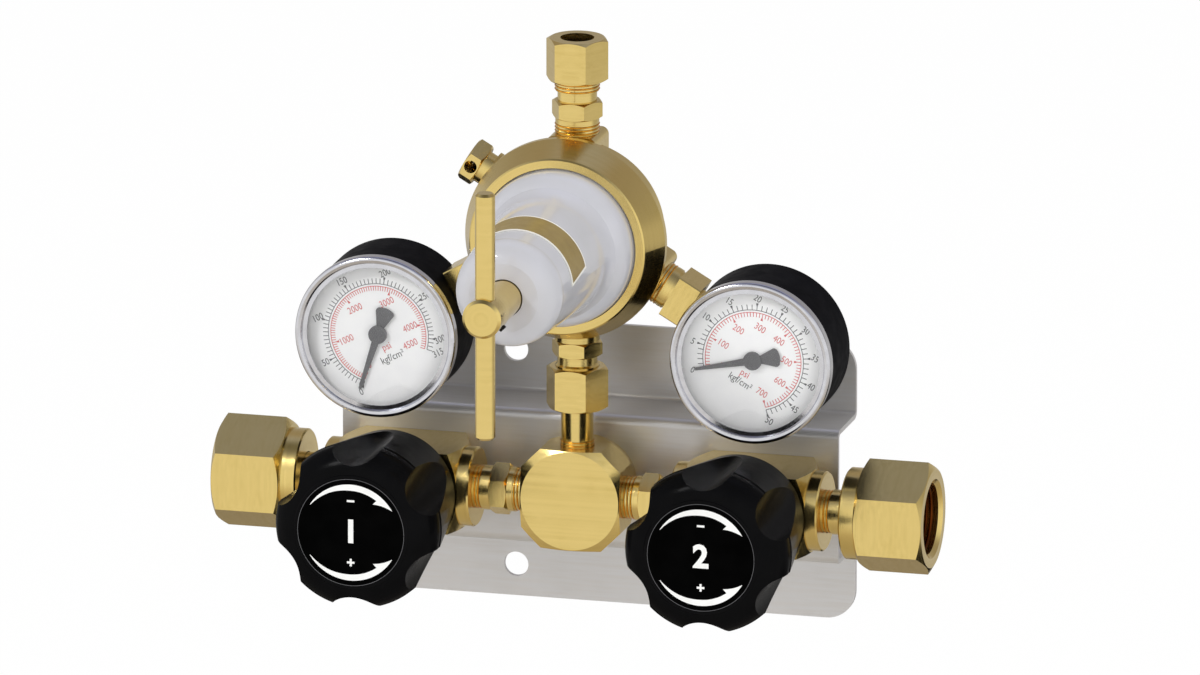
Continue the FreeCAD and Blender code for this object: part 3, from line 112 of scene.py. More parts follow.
def startMaterial(name, **values):
    # A Principled shader with its fixed values set on its own sockets
    material = bpy.data.materials.new(name)
    material.use_nodes = True
    tree = material.node_tree
    tree.nodes.clear()
    shader = addNode(tree, "ShaderNodeBsdfPrincipled")
    for key, value in values.items():
        shader.inputs[key.replace("_", " ")].default_value = value
    output = addNode(tree, "ShaderNodeOutputMaterial", {"Surface": shader.outputs[0]})
    return material, tree, shader, output


def pattern(tree, size, detail=2, rough=0.5, stretch=(1, 1, 1), at=None, low=0, high=1):
    # A noise in object space whose grain is `size` millimetres. It hardly leaves 0.3 to 0.7,
    # so that span is what goes from low to high.
    place = at or addNode(tree, "ShaderNodeTexCoord").outputs["Object"]
    mapped = addNode(tree, "ShaderNodeMapping", {"Vector": place, "Scale": stretch})
    noise = addNode(tree, "ShaderNodeTexNoise", {
        "Vector": mapped.outputs[0], "Scale": 1 / (size * mm), "Detail": detail, "Roughness": rough,
    })
    return addNode(tree, "ShaderNodeMapRange", {
        "Value": noise.outputs["Fac"], "From Min": 0.3, "From Max": 0.7, "To Min": low, "To Max": high,
    }).outputs[0]


def blendColours(tree, factor, first, second):
    mix = addNode(tree, "ShaderNodeMix", {0: factor}, data_type="RGBA")
    for index, value in ((6, first), (7, second)):
        if isinstance(value, bpy.types.NodeSocket):
            tree.links.new(value, mix.inputs[index])
        else:
            mix.inputs[index].default_value = srgb(value)
    return mix.outputs[2]


def colourSurface(tree, shader, factor, first, second):
    tree.links.new(blendColours(tree, factor, first, second), shader.inputs["Base Color"])


def varyRoughness(tree, shader, size, smoothest, roughest, detail=2, stretch=(1, 1, 1)):
    wander = pattern(tree, size, detail, stretch=stretch, low=smoothest, high=roughest)
    tree.links.new(wander, shader.inputs["Roughness"])


def raiseSurface(tree, shader, heights, distance):
    bump = addNode(tree, "ShaderNodeBump", {"Height": heights, "Distance": distance * mm, "Strength": 1})
    tree.links.new(bump.outputs[0], shader.inputs["Normal"])


def mixShaders(tree, share, first, second):
    return addNode(tree, "ShaderNodeMixShader", {0: share, 1: first, 2: second}).outputs[0]


def eitherRay(tree, first, second):
    path = addNode(tree, "ShaderNodeLightPath")
    return calculate(tree, "MAXIMUM", path.outputs[first], path.outputs[second])


brass = {
    "clean": "#E4CA80",
    "toned": "#DCC276",
    "stain": "#B99752",
    "stainFrom": 0.6,
    "stainMost": 0.15,
    "patchSize": 11,
    "speckSize": 2.2,
    "lathePitch": 0.25,
    "latheDepth": 0.006,
    "bandPitch": 1.6,  # finer marks would not show, so some tool marks are drawn this far apart
    "smoothest": 0.15,
    "roughest": 0.24,
}


def turnedBrass(name, point, direction, rough=1.0, marks=1.0):
    # Turned free-cutting brass under clear lacquer: warm yellow, with rings from the lathe tool
    # round the piece's own axis, and slightly toned patches.
    material, tree, shader, _ = startMaterial(name, Metallic=1.0)
    place = addNode(tree, "ShaderNodeTexCoord").outputs["Object"]
    turn = Vector(direction).to_track_quat("Z", "Y").to_euler()
    local = addNode(tree, "ShaderNodeMapping", {
        "Vector": place, "Location": point, "Rotation": turn,
    }, vector_type="TEXTURE").outputs[0]
    split = addNode(tree, "ShaderNodeSeparateXYZ", {0: local})
    flat = addNode(tree, "ShaderNodeCombineXYZ", {0: split.outputs[0], 1: split.outputs[1]})
    reach = addNode(tree, "ShaderNodeVectorMath", {0: flat.outputs[0]}, operation="LENGTH")
    rings = addNode(tree, "ShaderNodeCombineXYZ", {0: reach.outputs["Value"], 1: split.outputs[2]}).outputs[0]
    lathe = pattern(tree, brass["lathePitch"], detail=1, at=rings)
    bands = pattern(tree, brass["bandPitch"], at=rings)
    patches = pattern(tree, brass["patchSize"], detail=3, rough=0.55)
    specks = pattern(tree, brass["speckSize"], detail=4, rough=0.6)
    tone = calculate(tree, "MULTIPLY", patches, bands)
    base = blendColours(tree, tone, brass["clean"], brass["toned"])
    stainAt = addNode(tree, "ShaderNodeMapRange", {
        "Value": calculate(tree, "MULTIPLY", patches, specks),
        "From Min": brass["stainFrom"], "From Max": 1.0, "To Min": 0.0, "To Max": brass["stainMost"],
    }).outputs[0]
    colourSurface(tree, shader, stainAt, base, brass["stain"])
    wander = addNode(tree, "ShaderNodeMapRange", {
        "Value": bands, "To Min": brass["smoothest"] * rough, "To Max": brass["roughest"] * rough,
    })
    tree.links.new(wander.outputs[0], shader.inputs["Roughness"])
    raiseSurface(tree, shader, lathe, brass["latheDepth"] * marks)
    return material


cutThread = {
    "dirtSize": 1.6,
    "dirtShare": 0.12,
    "patchSize": 0.8,
    "smoothest": 0.18,
    "roughest": 0.28,
    "burrSize": 0.9,
    "burrDepth": 0.002,
}


def threadBrass(name, crest, root):
    # Cut thread: a painted highlight on the crests and painted shade in the roots, with a random dirty tone.
    # A piece without ridges takes the root's colour all over.
    material, tree, shader, _ = startMaterial(name, Metallic=1.0)
    rise = addNode(tree, "ShaderNodeAttribute", attribute_name="rise").outputs["Fac"]
    dirt = pattern(tree, cutThread["dirtSize"], low=-cutThread["dirtShare"], high=cutThread["dirtShare"])
    colourSurface(tree, shader, calculate(tree, "ADD", dirt, rise, clamp=True), root, crest)
    varyRoughness(tree, shader, cutThread["patchSize"], cutThread["smoothest"], cutThread["roughest"])
    raiseSurface(tree, shader, pattern(tree, cutThread["burrSize"], detail=1), cutThread["burrDepth"])
    return material


moulding = {
    "specular": 0.008,
    "cloudSize": 9,
    "patchSize": 5,
    "smoothShare": 0.85,
    "roughShare": 1.2,
}


def mouldedBlack(name, colour, lift, rough, skin=0.0, grain=0.45, depth=0.004):
    # Moulded phenolic: deep black, with a very fine mould grain and in places a thin satin skin
    material, tree, shader, _ = startMaterial(
        name, IOR=1.5, Specular_IOR_Level=moulding["specular"], Coat_Weight=skin, Coat_Roughness=rough)
    colourSurface(tree, shader, pattern(tree, moulding["cloudSize"], detail=3), colour, lift)
    varyRoughness(tree, shader, moulding["patchSize"], rough * moulding["smoothShare"],
                  rough * moulding["roughShare"], detail=3)
    raiseSurface(tree, shader, pattern(tree, grain), depth)
    return material


enamel = {
    "colours": ("#C6C6CD", "#C1C1C5"),
    "specular": 0.3,
    "coatRoughness": 0.04,
    "cloudSize": 22,
    "patchSize": 4,
    "smoothest": 0.34,
    "roughest": 0.42,
    "peelSize": 1.8,
    "peelDepth": 0.005,
}


def bonnetPaint(name):
    # Pale grey gloss enamel, sprayed: a faint orange peel and a slight lilac cast
    material, tree, shader, _ = startMaterial(
        name, IOR=1.5, Specular_IOR_Level=enamel["specular"], Coat_Weight=1.0,
        Coat_Roughness=enamel["coatRoughness"])
    colourSurface(tree, shader, pattern(tree, enamel["cloudSize"]), *enamel["colours"])
    varyRoughness(tree, shader, enamel["patchSize"], enamel["smoothest"], enamel["roughest"])
    raiseSurface(tree, shader, pattern(tree, enamel["peelSize"], detail=1), enamel["peelDepth"])
    return material


band = {
    "rear": -0.122,
    "front": -0.14,
    "border": 0.0009,
    # Degrees round the bonnet: the right end slants, and the border has a width there too
    "rightEndFront": 2.3,
    "rightEndRear": 9.9,
    "borderTurn": 2.4,
    "leftBorder": 163.4,
    "ink": ("#947F48", "#8A7542"),
    "edge": "#E9E7E0",
    "inkSize": 5,
    "patchSize": 3,
    "smoothest": 0.3,
    "roughest": 0.42,
    "rippleSize": 2.5,
    "rippleDepth": 0.006,
}


def bandFoil(name):
    # Bare self-adhesive foil label: brown-gold print with a pale border that follows its edges
    material, tree, shader, _ = startMaterial(name, IOR=1.5)
    place = addNode(tree, "ShaderNodeTexCoord").outputs["Object"]
    local = addNode(tree, "ShaderNodeMapping", {
        "Vector": place, "Location": regulatorLine,
    }, vector_type="TEXTURE").outputs[0]
    split = addNode(tree, "ShaderNodeSeparateXYZ", {0: local})
    depth = addNode(tree, "ShaderNodeSeparateXYZ", {0: place}).outputs[1]
    fromMiddle = calculate(tree, "SUBTRACT", depth, (band["rear"] + band["front"]) / 2)
    away = calculate(tree, "ABSOLUTE", fromMiddle)
    sides = calculate(tree, "GREATER_THAN", away, (band["rear"] - band["front"]) / 2 - band["border"])
    angle = calculate(tree, "ARCTAN2", split.outputs[2], split.outputs[0])
    slant = addNode(tree, "ShaderNodeMapRange", {
        "Value": depth, "From Min": band["front"], "From Max": band["rear"],
        "To Min": math.radians(band["rightEndFront"] + band["borderTurn"]),
        "To Max": math.radians(band["rightEndRear"] + band["borderTurn"]),
    })
    rightEnd = calculate(tree, "LESS_THAN", angle, slant.outputs[0])
    leftEnd = calculate(tree, "GREATER_THAN", angle, math.radians(band["leftBorder"]))
    ends = calculate(tree, "MAXIMUM", rightEnd, leftEnd)
    rim = calculate(tree, "MAXIMUM", sides, ends)
    inked = blendColours(tree, pattern(tree, band["inkSize"], detail=3), *band["ink"])
    colourSurface(tree, shader, rim, inked, band["edge"])
    varyRoughness(tree, shader, band["patchSize"], band["smoothest"], band["roughest"])
    raiseSurface(tree, shader, pattern(tree, band["rippleSize"], detail=1), band["rippleDepth"])
    return material


sheet = {
    "metal": 0.6,
    "clean": "#D0CDCB",
    "cloud": "#C8C5C2",
    "rolled": "#CFCECE",
    "cloudSize": 26,
    "rollSize": 1.2,
    "rollStretch": (0.06, 1, 1),
    "rollDepth": 0.0015,
    "patchSize": 2,
    "patchStretch": (0.08, 1, 1),
    "smoothest": 0.34,
    "roughest": 0.4,
}


def foldedSheet(name):
    # Zinc-plated sheet steel: pale warm grey, rolled along its length, with a soft reflection
    material, tree, shader, _ = startMaterial(name, Metallic=sheet["metal"])
    rolled = pattern(tree, sheet["rollSize"], detail=3, stretch=sheet["rollStretch"])
    cloud = pattern(tree, sheet["cloudSize"], detail=3, rough=0.6)
    base = blendColours(tree, cloud, sheet["clean"], sheet["cloud"])
    colourSurface(tree, shader, rolled, base, sheet["rolled"])
    varyRoughness(tree, shader, sheet["patchSize"], sheet["smoothest"], sheet["roughest"],
                  detail=3, stretch=sheet["patchStretch"])
    raiseSurface(tree, shader, rolled, sheet["rollDepth"])
    return material


steel = {
    "toneSize": 4,
    "smoothShare": 0.7,
    "roughShare": 1.3,
    "markDepth": 0.003,
}


def polishedSteel(name, bright, deep, rough, grain=0.6):
    # Bare or plated steel: grey metal with fine marks left by drawing or polishing
    material, tree, shader, _ = startMaterial(name, Metallic=1.0)
    colourSurface(tree, shader, pattern(tree, steel["toneSize"], detail=3), bright, deep)
    varyRoughness(tree, shader, grain, rough * steel["smoothShare"], rough * steel["roughShare"])
    raiseSurface(tree, shader, pattern(tree, grain), steel["markDepth"])
    return material


paint = {
    "mottleSize": 6,
    "patchSize": 3,
    "smoothShare": 0.9,
    "roughShare": 1.15,
    "grainSize": 0.8,
    "grainDepth": 0.002,
}


def printedFace(name, ground, tint, rough):
    # Painted or printed flat: even ink with a trace of mottling
    material, tree, shader, _ = startMaterial(name, IOR=1.5)
    colourSurface(tree, shader, pattern(tree, paint["mottleSize"], detail=3), ground, tint)
    varyRoughness(tree, shader, paint["patchSize"], rough * paint["smoothShare"], rough * paint["roughShare"])
    raiseSurface(tree, shader, pattern(tree, paint["grainSize"]), paint["grainDepth"])
    return material


acrylic = {
    "bend": 1.45,
    "hazeSize": 7,
    "haze": 0.03,
}


def windowGlass(name):
    # Clear acrylic window: lamps' rays pass straight through it, so the dial stays lit
    material, tree, shader, output = startMaterial(
        name, IOR=acrylic["bend"], Transmission_Weight=1.0, Base_Color=srgb("#FFFFFF"))
    varyRoughness(tree, shader, acrylic["hazeSize"], 0.0, acrylic["haze"])
    passed = eitherRay(tree, "Is Shadow Ray", "Is Diffuse Ray")
    clear = addNode(tree, "ShaderNodeBsdfTransparent")
    mixed = mixShaders(tree, passed, shader.outputs[0], clear.outputs[0])
    tree.links.new(mixed, output.inputs["Surface"])
    return material


nitrile = {
    "colours": ("#1B1A19", "#262423"),
    "cloudSize": 5,
    "patchSize": 1,
    "smoothest": 0.6,
    "roughest": 0.75,
    "clothSize": 0.6,
    "clothDepth": 0.02,
}


def mouldedRubber(name):
    # Nitrile rubber: matt dark grey with a fine cloth print
    material, tree, shader, _ = startMaterial(name, IOR=1.5)
    colourSurface(tree, shader, pattern(tree, nitrile["cloudSize"], detail=3), *nitrile["colours"])
    varyRoughness(tree, shader, nitrile["patchSize"], nitrile["smoothest"], nitrile["roughest"])
    raiseSurface(tree, shader, pattern(tree, nitrile["clothSize"]), nitrile["clothDepth"])
    return material


# The tee block is milled: about an axis 2 m above it, the marks are straight lines across its face
millAxis = Vector((0, 0, 2))
leftStem, rightStem = Vector((-0.0716, 0, 0)), Vector((0.0716, 0, 0))
barMiddle = sum(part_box("handle_bar"), Vector()) / 2
finishes = {
    "flowBrass": turnedBrass("turned_brass_flow_line", flowLine, alongX),
    "riserBrass": turnedBrass("turned_brass_riser", flowLine, alongZ),
    "teeBrass": turnedBrass("milled_brass_tee_block", millAxis, alongY, rough=1.1, marks=0.45),
    "regulatorBrass": turnedBrass("turned_brass_regulator", regulatorLine, alongY),
    "shaftBrass": turnedBrass("polished_brass_screw", regulatorLine, alongY, rough=0.6, marks=0.4),
    "barBrass": turnedBrass("drawn_brass_bar", barMiddle, alongZ, rough=0.8, marks=0.4),
    "leftStemBrass": turnedBrass("turned_brass_left_stem", leftStem, alongY),
    "rightStemBrass": turnedBrass("turned_brass_right_stem", rightStem, alongY),
    # Thread ridges: crests painted bright as a painted highlight, roots painted dark as painted shade
    "threadBrass": threadBrass("cut_thread_brass_painted_shade", "#FFBA42", "#8F4704"),
    # The coupling nuts' inner threads are painted darker all over: painted shade inside the nut mouth
    "shadedNutThreadBrass": threadBrass("painted_shade_nut_thread_brass", "#A8602A", "#5E2C0C"),
    # The outlet ferrule sits in a bore and is painted dark brown all over: painted shade
    "shadedBoreBrass": threadBrass("painted_shade_bore_brass", "#7A4A1C", "#6B3C12"),
    "knobBlack": mouldedBlack("moulded_black_knob", "#0A0A0B", "#0D0D0E", rough=0.2, skin=0.04),
    "caseBlack": mouldedBlack("satin_black_case", "#0B0B0E", "#0F0F13", rough=0.4, grain=1.2, depth=0.006),
    "labelBlack": mouldedBlack(
        "printed_black_label", "#020202", "#050505", rough=0.35, grain=0.8, depth=0.002),
    "plugBlack": mouldedBlack("moulded_black_plug", "#0D0D0F", "#151517", rough=0.35, skin=0.3),
    "bonnetPaint": bonnetPaint("grey_enamel_paint"),
    "bandFoil": bandFoil("gold_foil_band"),
    "bracketSteel": foldedSheet("zinc_plated_sheet"),
    "bezelChrome": polishedSteel("chrome_bezel", "#D6D6DA", "#CBCBCF", rough=0.16, grain=0.9),
    "screwSteel": polishedSteel("black_screw_steel", "#3A3A3D", "#2A2A2C", rough=0.4),
    "grubSteel": polishedSteel("dark_grub_steel", "#2E2D2B", "#1F1E1D", rough=0.42),
    "springSteel": polishedSteel("drawn_spring_steel", "#9C9CA2", "#828288", rough=0.3, grain=0.5),
    "seatSteel": polishedSteel("machined_seat_steel", "#B2B2B6", "#9A9A9F", rough=0.28, grain=0.5),
    "dialWhite": printedFace("painted_white_dial", "#F6F6F6", "#F2F2F3", rough=0.45),
    "inkWhite": printedFace("white_label_ink", "#F4F4F2", "#EBEBE9", rough=0.4),
    "inkBlack": printedFace("black_dial_ink", "#3A3A3C", "#46464A", rough=0.5),
    "inkRed": printedFace("red_dial_ink", "#C9494A", "#D05C5A", rough=0.5),
    "pointerGrey": printedFace("painted_grey_pointer", "#565658", "#4C4C4F", rough=0.45),
    "glass": windowGlass("clear_gauge_window"),
    "rubber": mouldedRubber("nitrile_diaphragm"),
    "leftSocketBrass": turnedBrass("turned_brass_left_socket", regulatorLine, leftPort),
    "rightSocketBrass": turnedBrass("turned_brass_right_socket", regulatorLine, rightPort),
    "reliefBrass": turnedBrass("turned_brass_relief", regulatorLine, reliefPort),
}

wearing = {
    "left_centre_nipple": "flowBrass", "right_centre_nipple": "flowBrass",
    "left_inlet_nipple": "flowBrass", "right_inlet_nipple": "flowBrass",
    "left_inlet_nut": "flowBrass", "right_inlet_nut": "flowBrass",
    "left_valve_body": "flowBrass", "right_valve_body": "flowBrass",
    "left_valve_bonnet": "leftStemBrass", "right_valve_bonnet": "rightStemBrass",
    "left_valve_spindle": "leftStemBrass", "right_valve_spindle": "rightStemBrass",
    "tee_block": "teeBrass",
    "riser_tube": "riserBrass", "riser_nut": "riserBrass", "riser_ferrule": "riserBrass",
    "regulator_inlet_fitting": "riserBrass", "outlet_fitting": "riserBrass",
    "outlet_nut": "riserBrass", "outlet_ferrule": "shadedBoreBrass",
    "regulator_body": "regulatorBrass", "nozzle": "regulatorBrass", "poppet": "regulatorBrass",
    "adjusting_screw": "shaftBrass", "handle_bar": "barBrass",
    "left_gauge_socket": "leftSocketBrass", "right_gauge_socket": "rightSocketBrass",
    "relief_valve_body": "reliefBrass", "relief_plunger": "reliefBrass", "relief_plug": "reliefBrass",
    "left_pressure_tube": "regulatorBrass", "right_pressure_tube": "regulatorBrass",
    "left_knob": "knobBlack", "right_knob": "knobBlack",
    "left_knob_label": "labelBlack", "right_knob_label": "labelBlack",
    "left_valve_plug": "plugBlack", "right_valve_plug": "plugBlack",
    "left_gauge_case": "caseBlack", "right_gauge_case": "caseBlack",
    "left_gauge_bezel": "bezelChrome", "right_gauge_bezel": "bezelChrome",
    "left_gauge_lens": "glass", "right_gauge_lens": "glass",
    "left_gauge_dial": "dialWhite", "right_gauge_dial": "dialWhite",
    "left_gauge_pointer": "pointerGrey", "right_gauge_pointer": "pointerGrey",
    "regulator_bonnet": "bonnetPaint", "bonnet_label": "bandFoil",
    "bracket": "bracketSteel", "fixing_screws": "screwSteel", "handle_grub_screw": "grubSteel",
    "main_spring": "springSteel", "poppet_spring": "springSteel", "relief_spring": "springSteel",
    "diaphragm": "rubber", "upper_spring_seat": "seatSteel", "lower_spring_seat": "seatSteel",
}
for nodeName, node in nodes.items():
    chosen = finishes[wearing[nodeName]]
    for slot in node.material_slots:
        slot.material = chosen
print("stage: finishes on", len(wearing), "nodes")


def newObject(name, data):
    made = bpy.data.objects.new(name, data)
    bpy.context.scene.collection.objects.link(made)
    return made


def newMesh(name, points, faces, material):
    mesh = bpy.data.meshes.new(name)
    mesh.from_pydata([tuple(p) for p in points], [], faces)
    mesh.materials.append(material)
    return newObject(name, mesh)


def faceOutwards(made):
    shape = bmesh.new()
    shape.from_mesh(made.data)
    bmesh.ops.remove_doubles(shape, verts=shape.verts, dist=1e-7)
    bmesh.ops.recalc_face_normals(shape, faces=shape.faces)
    shape.to_mesh(made.data)
    shape.free()


def joined(name, meshes, material):
    whole = bmesh.new()
    for mesh in meshes:
        whole.from_mesh(mesh)
    mesh = bpy.data.meshes.new(name)
    whole.to_mesh(mesh)
    whole.free()
    mesh.materials.append(material)
    for polygon in mesh.polygons:
        polygon.material_index = 0
    return newObject(name, mesh)


springs = {
    # node: joint, axis, fixed end, share of its length kept at the joint's limit
    "main_spring": ("spring_load", (0, 1, 0), (0, -0.069, 0.1095), 0.8235),
    "poppet_spring": ("poppet_lift", (0, 1, 0), (0, -0.044, 0.1095), 0.871),
    "relief_spring": ("relief_lift", tuple(reliefPort), tuple(regulatorLine + reliefPort * 0.0497), 0.912),
}
for springName, (joint, axis, anchor, keep) in springs.items():
    wire = newObject(f"{springName}_coil", nodes[springName].data.copy())
    faceOutwards(wire)
    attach(wire, nodes[springName]["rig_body"])
    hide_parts(springName)
    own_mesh(wire)
print("stage: springs")


def printed(name, outlines, thick, origin, material):
    # Closed outlines in mm about an origin on a face towards the front, as ink of a real thickness
    points, faces = [], []
    for outline in outlines:
        first = len(points)
        count = len(outline)
        for y in (origin[1] - thick, origin[1]):
            points += [(origin[0] + x * mm, y, origin[2] + z * mm) for x, z in outline]
        faces.append([first + i for i in range(count)])
        faces.append([first + count + i for i in reversed(range(count))])
        faces += [[first + i, first + count + i, first + count + (i + 1) % count, first + (i + 1) % count]
                  for i in range(count)]
    made = newMesh(name, points, faces, material)
    faceOutwards(made)
    return made


capitalShare = 0.73  # how much of the font's size its capitals are high


def lettering(name, words, thick, origin, material, bold=0.0):
    # Words as text, height, place, turn and squeeze, in mm about an origin as in printed()
    upright = Matrix.Rotation(math.radians(90), 4, "X")
    shapes = []
    for text, height, (x, z), turn, squeeze in words:
        curve = bpy.data.curves.new(name, "FONT")
        curve.body = text
        curve.align_x = "CENTER"
        curve.align_y = "CENTER"
        curve.size = height * mm / capitalShare
        curve.extrude = thick / 2
        curve.offset = height * mm * bold
        curve.resolution_u = 3
        letter = newObject(name, curve)
        shape = bpy.data.meshes.new_from_object(letter)
        bpy.data.objects.remove(letter)
        spin = Matrix.Rotation(math.radians(-turn), 4, "Y")
        there = Matrix.Translation((origin[0] + x * mm, origin[1] - thick / 2, origin[2] + z * mm))
        shape.transform(there @ spin @ upright @ Matrix.Diagonal((squeeze, 1, 1, 1)))
        shapes.append(shape)
    return joined(name, shapes, material)


def pointAt(angle, radius):
    return radius * math.cos(math.radians(angle)), radius * math.sin(math.radians(angle))


def arcOutline(radius, width, start, end, count=90):
    outer = [(start + (end - start) * i / count, radius + width / 2) for i in range(count + 1)]
    inner = [(angle, radius - width / 2) for angle, _ in reversed(outer)]
    return [pointAt(angle, far) for angle, far in outer + inner]


# Thread ridges: one ring for each turn, on every thread that shows
threads = {
    "pitch": 1.41,  # 18 threads to the inch
    "ridge": 0.42,
    "facets": 56,
    "nutFrom": 130.6,
    "nutLength": 14.0,
    "nutPitch": 1.81,  # 14 threads to the inch
    "nutRadius": 14.25,
    "nutRidge": 0.75,
    "nutFacets": 72,
    "spans": [
        # from and to along the axis, radius, point, axis
        # centre nipples by the tee block and by the valves, inlet nipples by the valves
        (20.4, 24.8, 8.3, flowLine, (1, 0, 0)), (20.4, 24.8, 8.3, flowLine, (-1, 0, 0)),
        (38.0, 41.0, 8.3, flowLine, (1, 0, 0)), (38.0, 41.0, 8.3, flowLine, (-1, 0, 0)),
        (102.2, 105.3, 8.3, flowLine, (1, 0, 0)), (102.2, 105.3, 8.3, flowLine, (-1, 0, 0)),
        # riser, the regulator's inlet fitting, and both ends of its outlet fitting
        (20.4, 23.0, 6.55, flowLine, (0, 0, 1)),
        (66.1, 70.0, 8.6, flowLine, (0, 0, 1)),
        (149.0, 153.0, 8.6, flowLine, (0, 0, 1)),
        (166.1, 170.1, 8.65, flowLine, (0, 0, 1)),
        # gauge sockets
        (39.5, 42.8, 8.6, regulatorLine, tuple(leftPort)),
        (39.5, 42.8, 8.6, regulatorLine, tuple(rightPort)),
    ],
}


def addSockets(tree, kind, *names, way="INPUT"):
    for name in names:
        tree.interface.new_socket(name=name, in_out=way, socket_type=f"NodeSocket{kind}")


def field(tree, name, kind):
    made = addNode(tree, "GeometryNodeInputNamedAttribute", {"Name": name}, data_type=kind)
    return made.outputs["Attribute"]


def keepField(tree, geometry, name, kind, value):
    return addNode(tree, "GeometryNodeStoreNamedAttribute", {
        "Geometry": geometry, "Name": name, "Value": value,
    }, data_type=kind).outputs[0]


def finishTree(tree, geometry, material):
    coated = addNode(tree, "GeometryNodeSetMaterial", {"Geometry": geometry, "Material": material})
    addNode(tree, "NodeGroupOutput", {"Geometry": coated.outputs[0]})
    return tree


def threadTree():
    tree = bpy.data.node_groups.new("threadRings", "GeometryNodeTree")
    addSockets(tree, "Geometry", "Geometry")
    addSockets(tree, "Float", "Pitch", "Ridge")
    addSockets(tree, "Int", "Facets")
    addSockets(tree, "Material", "Material")
    addSockets(tree, "Geometry", "Geometry", way="OUTPUT")
    given = addNode(tree, "NodeGroupInput")
    radius = field(tree, "radius", "FLOAT")
    axis = field(tree, "axis", "FLOAT_VECTOR")
    copies = addNode(tree, "GeometryNodeDuplicateElements", {
        "Geometry": given.outputs["Geometry"], "Amount": field(tree, "turns", "INT"),
    }, domain="POINT")
    step = calculate(tree, "MULTIPLY", copies.outputs["Duplicate Index"], given.outputs["Pitch"])
    shift = addNode(tree, "ShaderNodeVectorMath", {0: axis, 3: step}, operation="SCALE")
    moved = addNode(tree, "GeometryNodeSetPosition", {
        "Geometry": copies.outputs["Geometry"], "Offset": shift.outputs[0],
    }).outputs[0]
    centred = keepField(tree, moved, "ringCentre", "FLOAT_VECTOR",
                        addNode(tree, "GeometryNodeInputPosition").outputs[0])
    sized = keepField(tree, centred, "ringRadius", "FLOAT", radius)
    ring = addNode(tree, "GeometryNodeCurvePrimitiveCircle", {
        "Resolution": given.outputs["Facets"], "Radius": 1.0,
    })
    aimed = addNode(tree, "FunctionNodeAlignRotationToVector", {"Vector": axis}, axis="Z")
    placed = addNode(tree, "GeometryNodeInstanceOnPoints", {
        "Points": sized, "Instance": ring.outputs[0], "Rotation": aimed.outputs[0], "Scale": radius,
    })
    single = addNode(tree, "GeometryNodeRealizeInstances", {0: placed.outputs[0]})
    crest = addNode(tree, "GeometryNodeCurvePrimitiveCircle", {
        "Resolution": 4, "Radius": given.outputs["Ridge"],
    })
    swept = addNode(tree, "GeometryNodeCurveToMesh", {
        "Curve": single.outputs[0], "Profile Curve": crest.outputs[0],
    })
    # How high each point stands on its ridge: 0 at the root, 1 at the crest
    reach = addNode(tree, "ShaderNodeVectorMath", {
        0: addNode(tree, "GeometryNodeInputPosition").outputs[0],
        1: field(tree, "ringCentre", "FLOAT_VECTOR"),
    }, operation="DISTANCE").outputs["Value"]
    above = calculate(tree, "SUBTRACT", reach, field(tree, "ringRadius", "FLOAT"))
    height = calculate(tree, "DIVIDE", above, given.outputs["Ridge"], clamp=True)
    marked = keepField(tree, swept.outputs[0], "rise", "FLOAT", height)
    return finishTree(tree, marked, given.outputs["Material"])


def grown(name, base, tree, values):
    # Runs a node tree on a base object and keeps the result as a plain mesh
    modifier = base.modifiers.new("grow", "NODES")
    modifier.node_group = tree
    for item in tree.interface.items_tree:
        if item.in_out == "INPUT" and item.name in values:
            modifier[item.identifier] = values[item.name]
    bpy.context.view_layer.update()
    seen = base.evaluated_get(bpy.context.evaluated_depsgraph_get())
    mesh = bpy.data.meshes.new_from_object(seen)
    base.modifiers.clear()
    bpy.data.objects.remove(base)
    mesh.name = name
    return newObject(name, mesh)


def seedPoints(name, points, fields):
    mesh = bpy.data.meshes.new(name)
    mesh.from_pydata([tuple(p) for p in points], [], [])
    for label, (kind, values) in fields.items():
        attribute = mesh.attributes.new(label, kind, "POINT")
        key = "vector" if kind == "FLOAT_VECTOR" else "value"
        for index, value in enumerate(values):
            setattr(attribute.data[index], key, value)
    return newObject(name, mesh)


ringTree = threadTree()
starts, turnCounts, radii, axes = [], [], [], []
for low, high, radius, point, axis in threads["spans"]:
    count = max(1, round((high - low) / threads["pitch"]))
    slack = (high - low) - (count - 1) * threads["pitch"]
    starts.append(point + Vector(axis) * (low + slack / 2) * mm)
    turnCounts.append(count)
    radii.append(radius * mm)
    axes.append(axis)
threadSeed = seedPoints("thread_seed", starts, {
    "turns": ("INT", turnCounts), "radius": ("FLOAT", radii), "axis": ("FLOAT_VECTOR", axes),
})
threadRidges = grown("thread_ridges", threadSeed, ringTree, {
    "Pitch": threads["pitch"] * mm, "Ridge": threads["ridge"] * mm, "Facets": threads["facets"],
    "Material": finishes["threadBrass"],
})
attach(threadRidges, "manifold")
for side, way in (("left", -1), ("right", 1)):
    # The coupling nuts' inner threads turn with the nuts
    count = int(threads["nutLength"] / threads["nutPitch"])
    seed = seedPoints("nut_thread_seed", [flowLine + Vector((way * threads["nutFrom"] * mm, 0, 0))], {
        "turns": ("INT", [count]), "radius": ("FLOAT", [threads["nutRadius"] * mm]),
        "axis": ("FLOAT_VECTOR", [(way, 0, 0)]),
    })
    inner = grown(f"{side}_nut_thread", seed, ringTree, {
        "Pitch": threads["nutPitch"] * mm, "Ridge": threads["nutRidge"] * mm,
        "Facets": threads["nutFacets"], "Material": finishes["shadedNutThreadBrass"],
    })
    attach(inner, f"{side}_coupling_nut")
print("stage: thread ridges,", len(threadRidges.data.polygons), "faces")
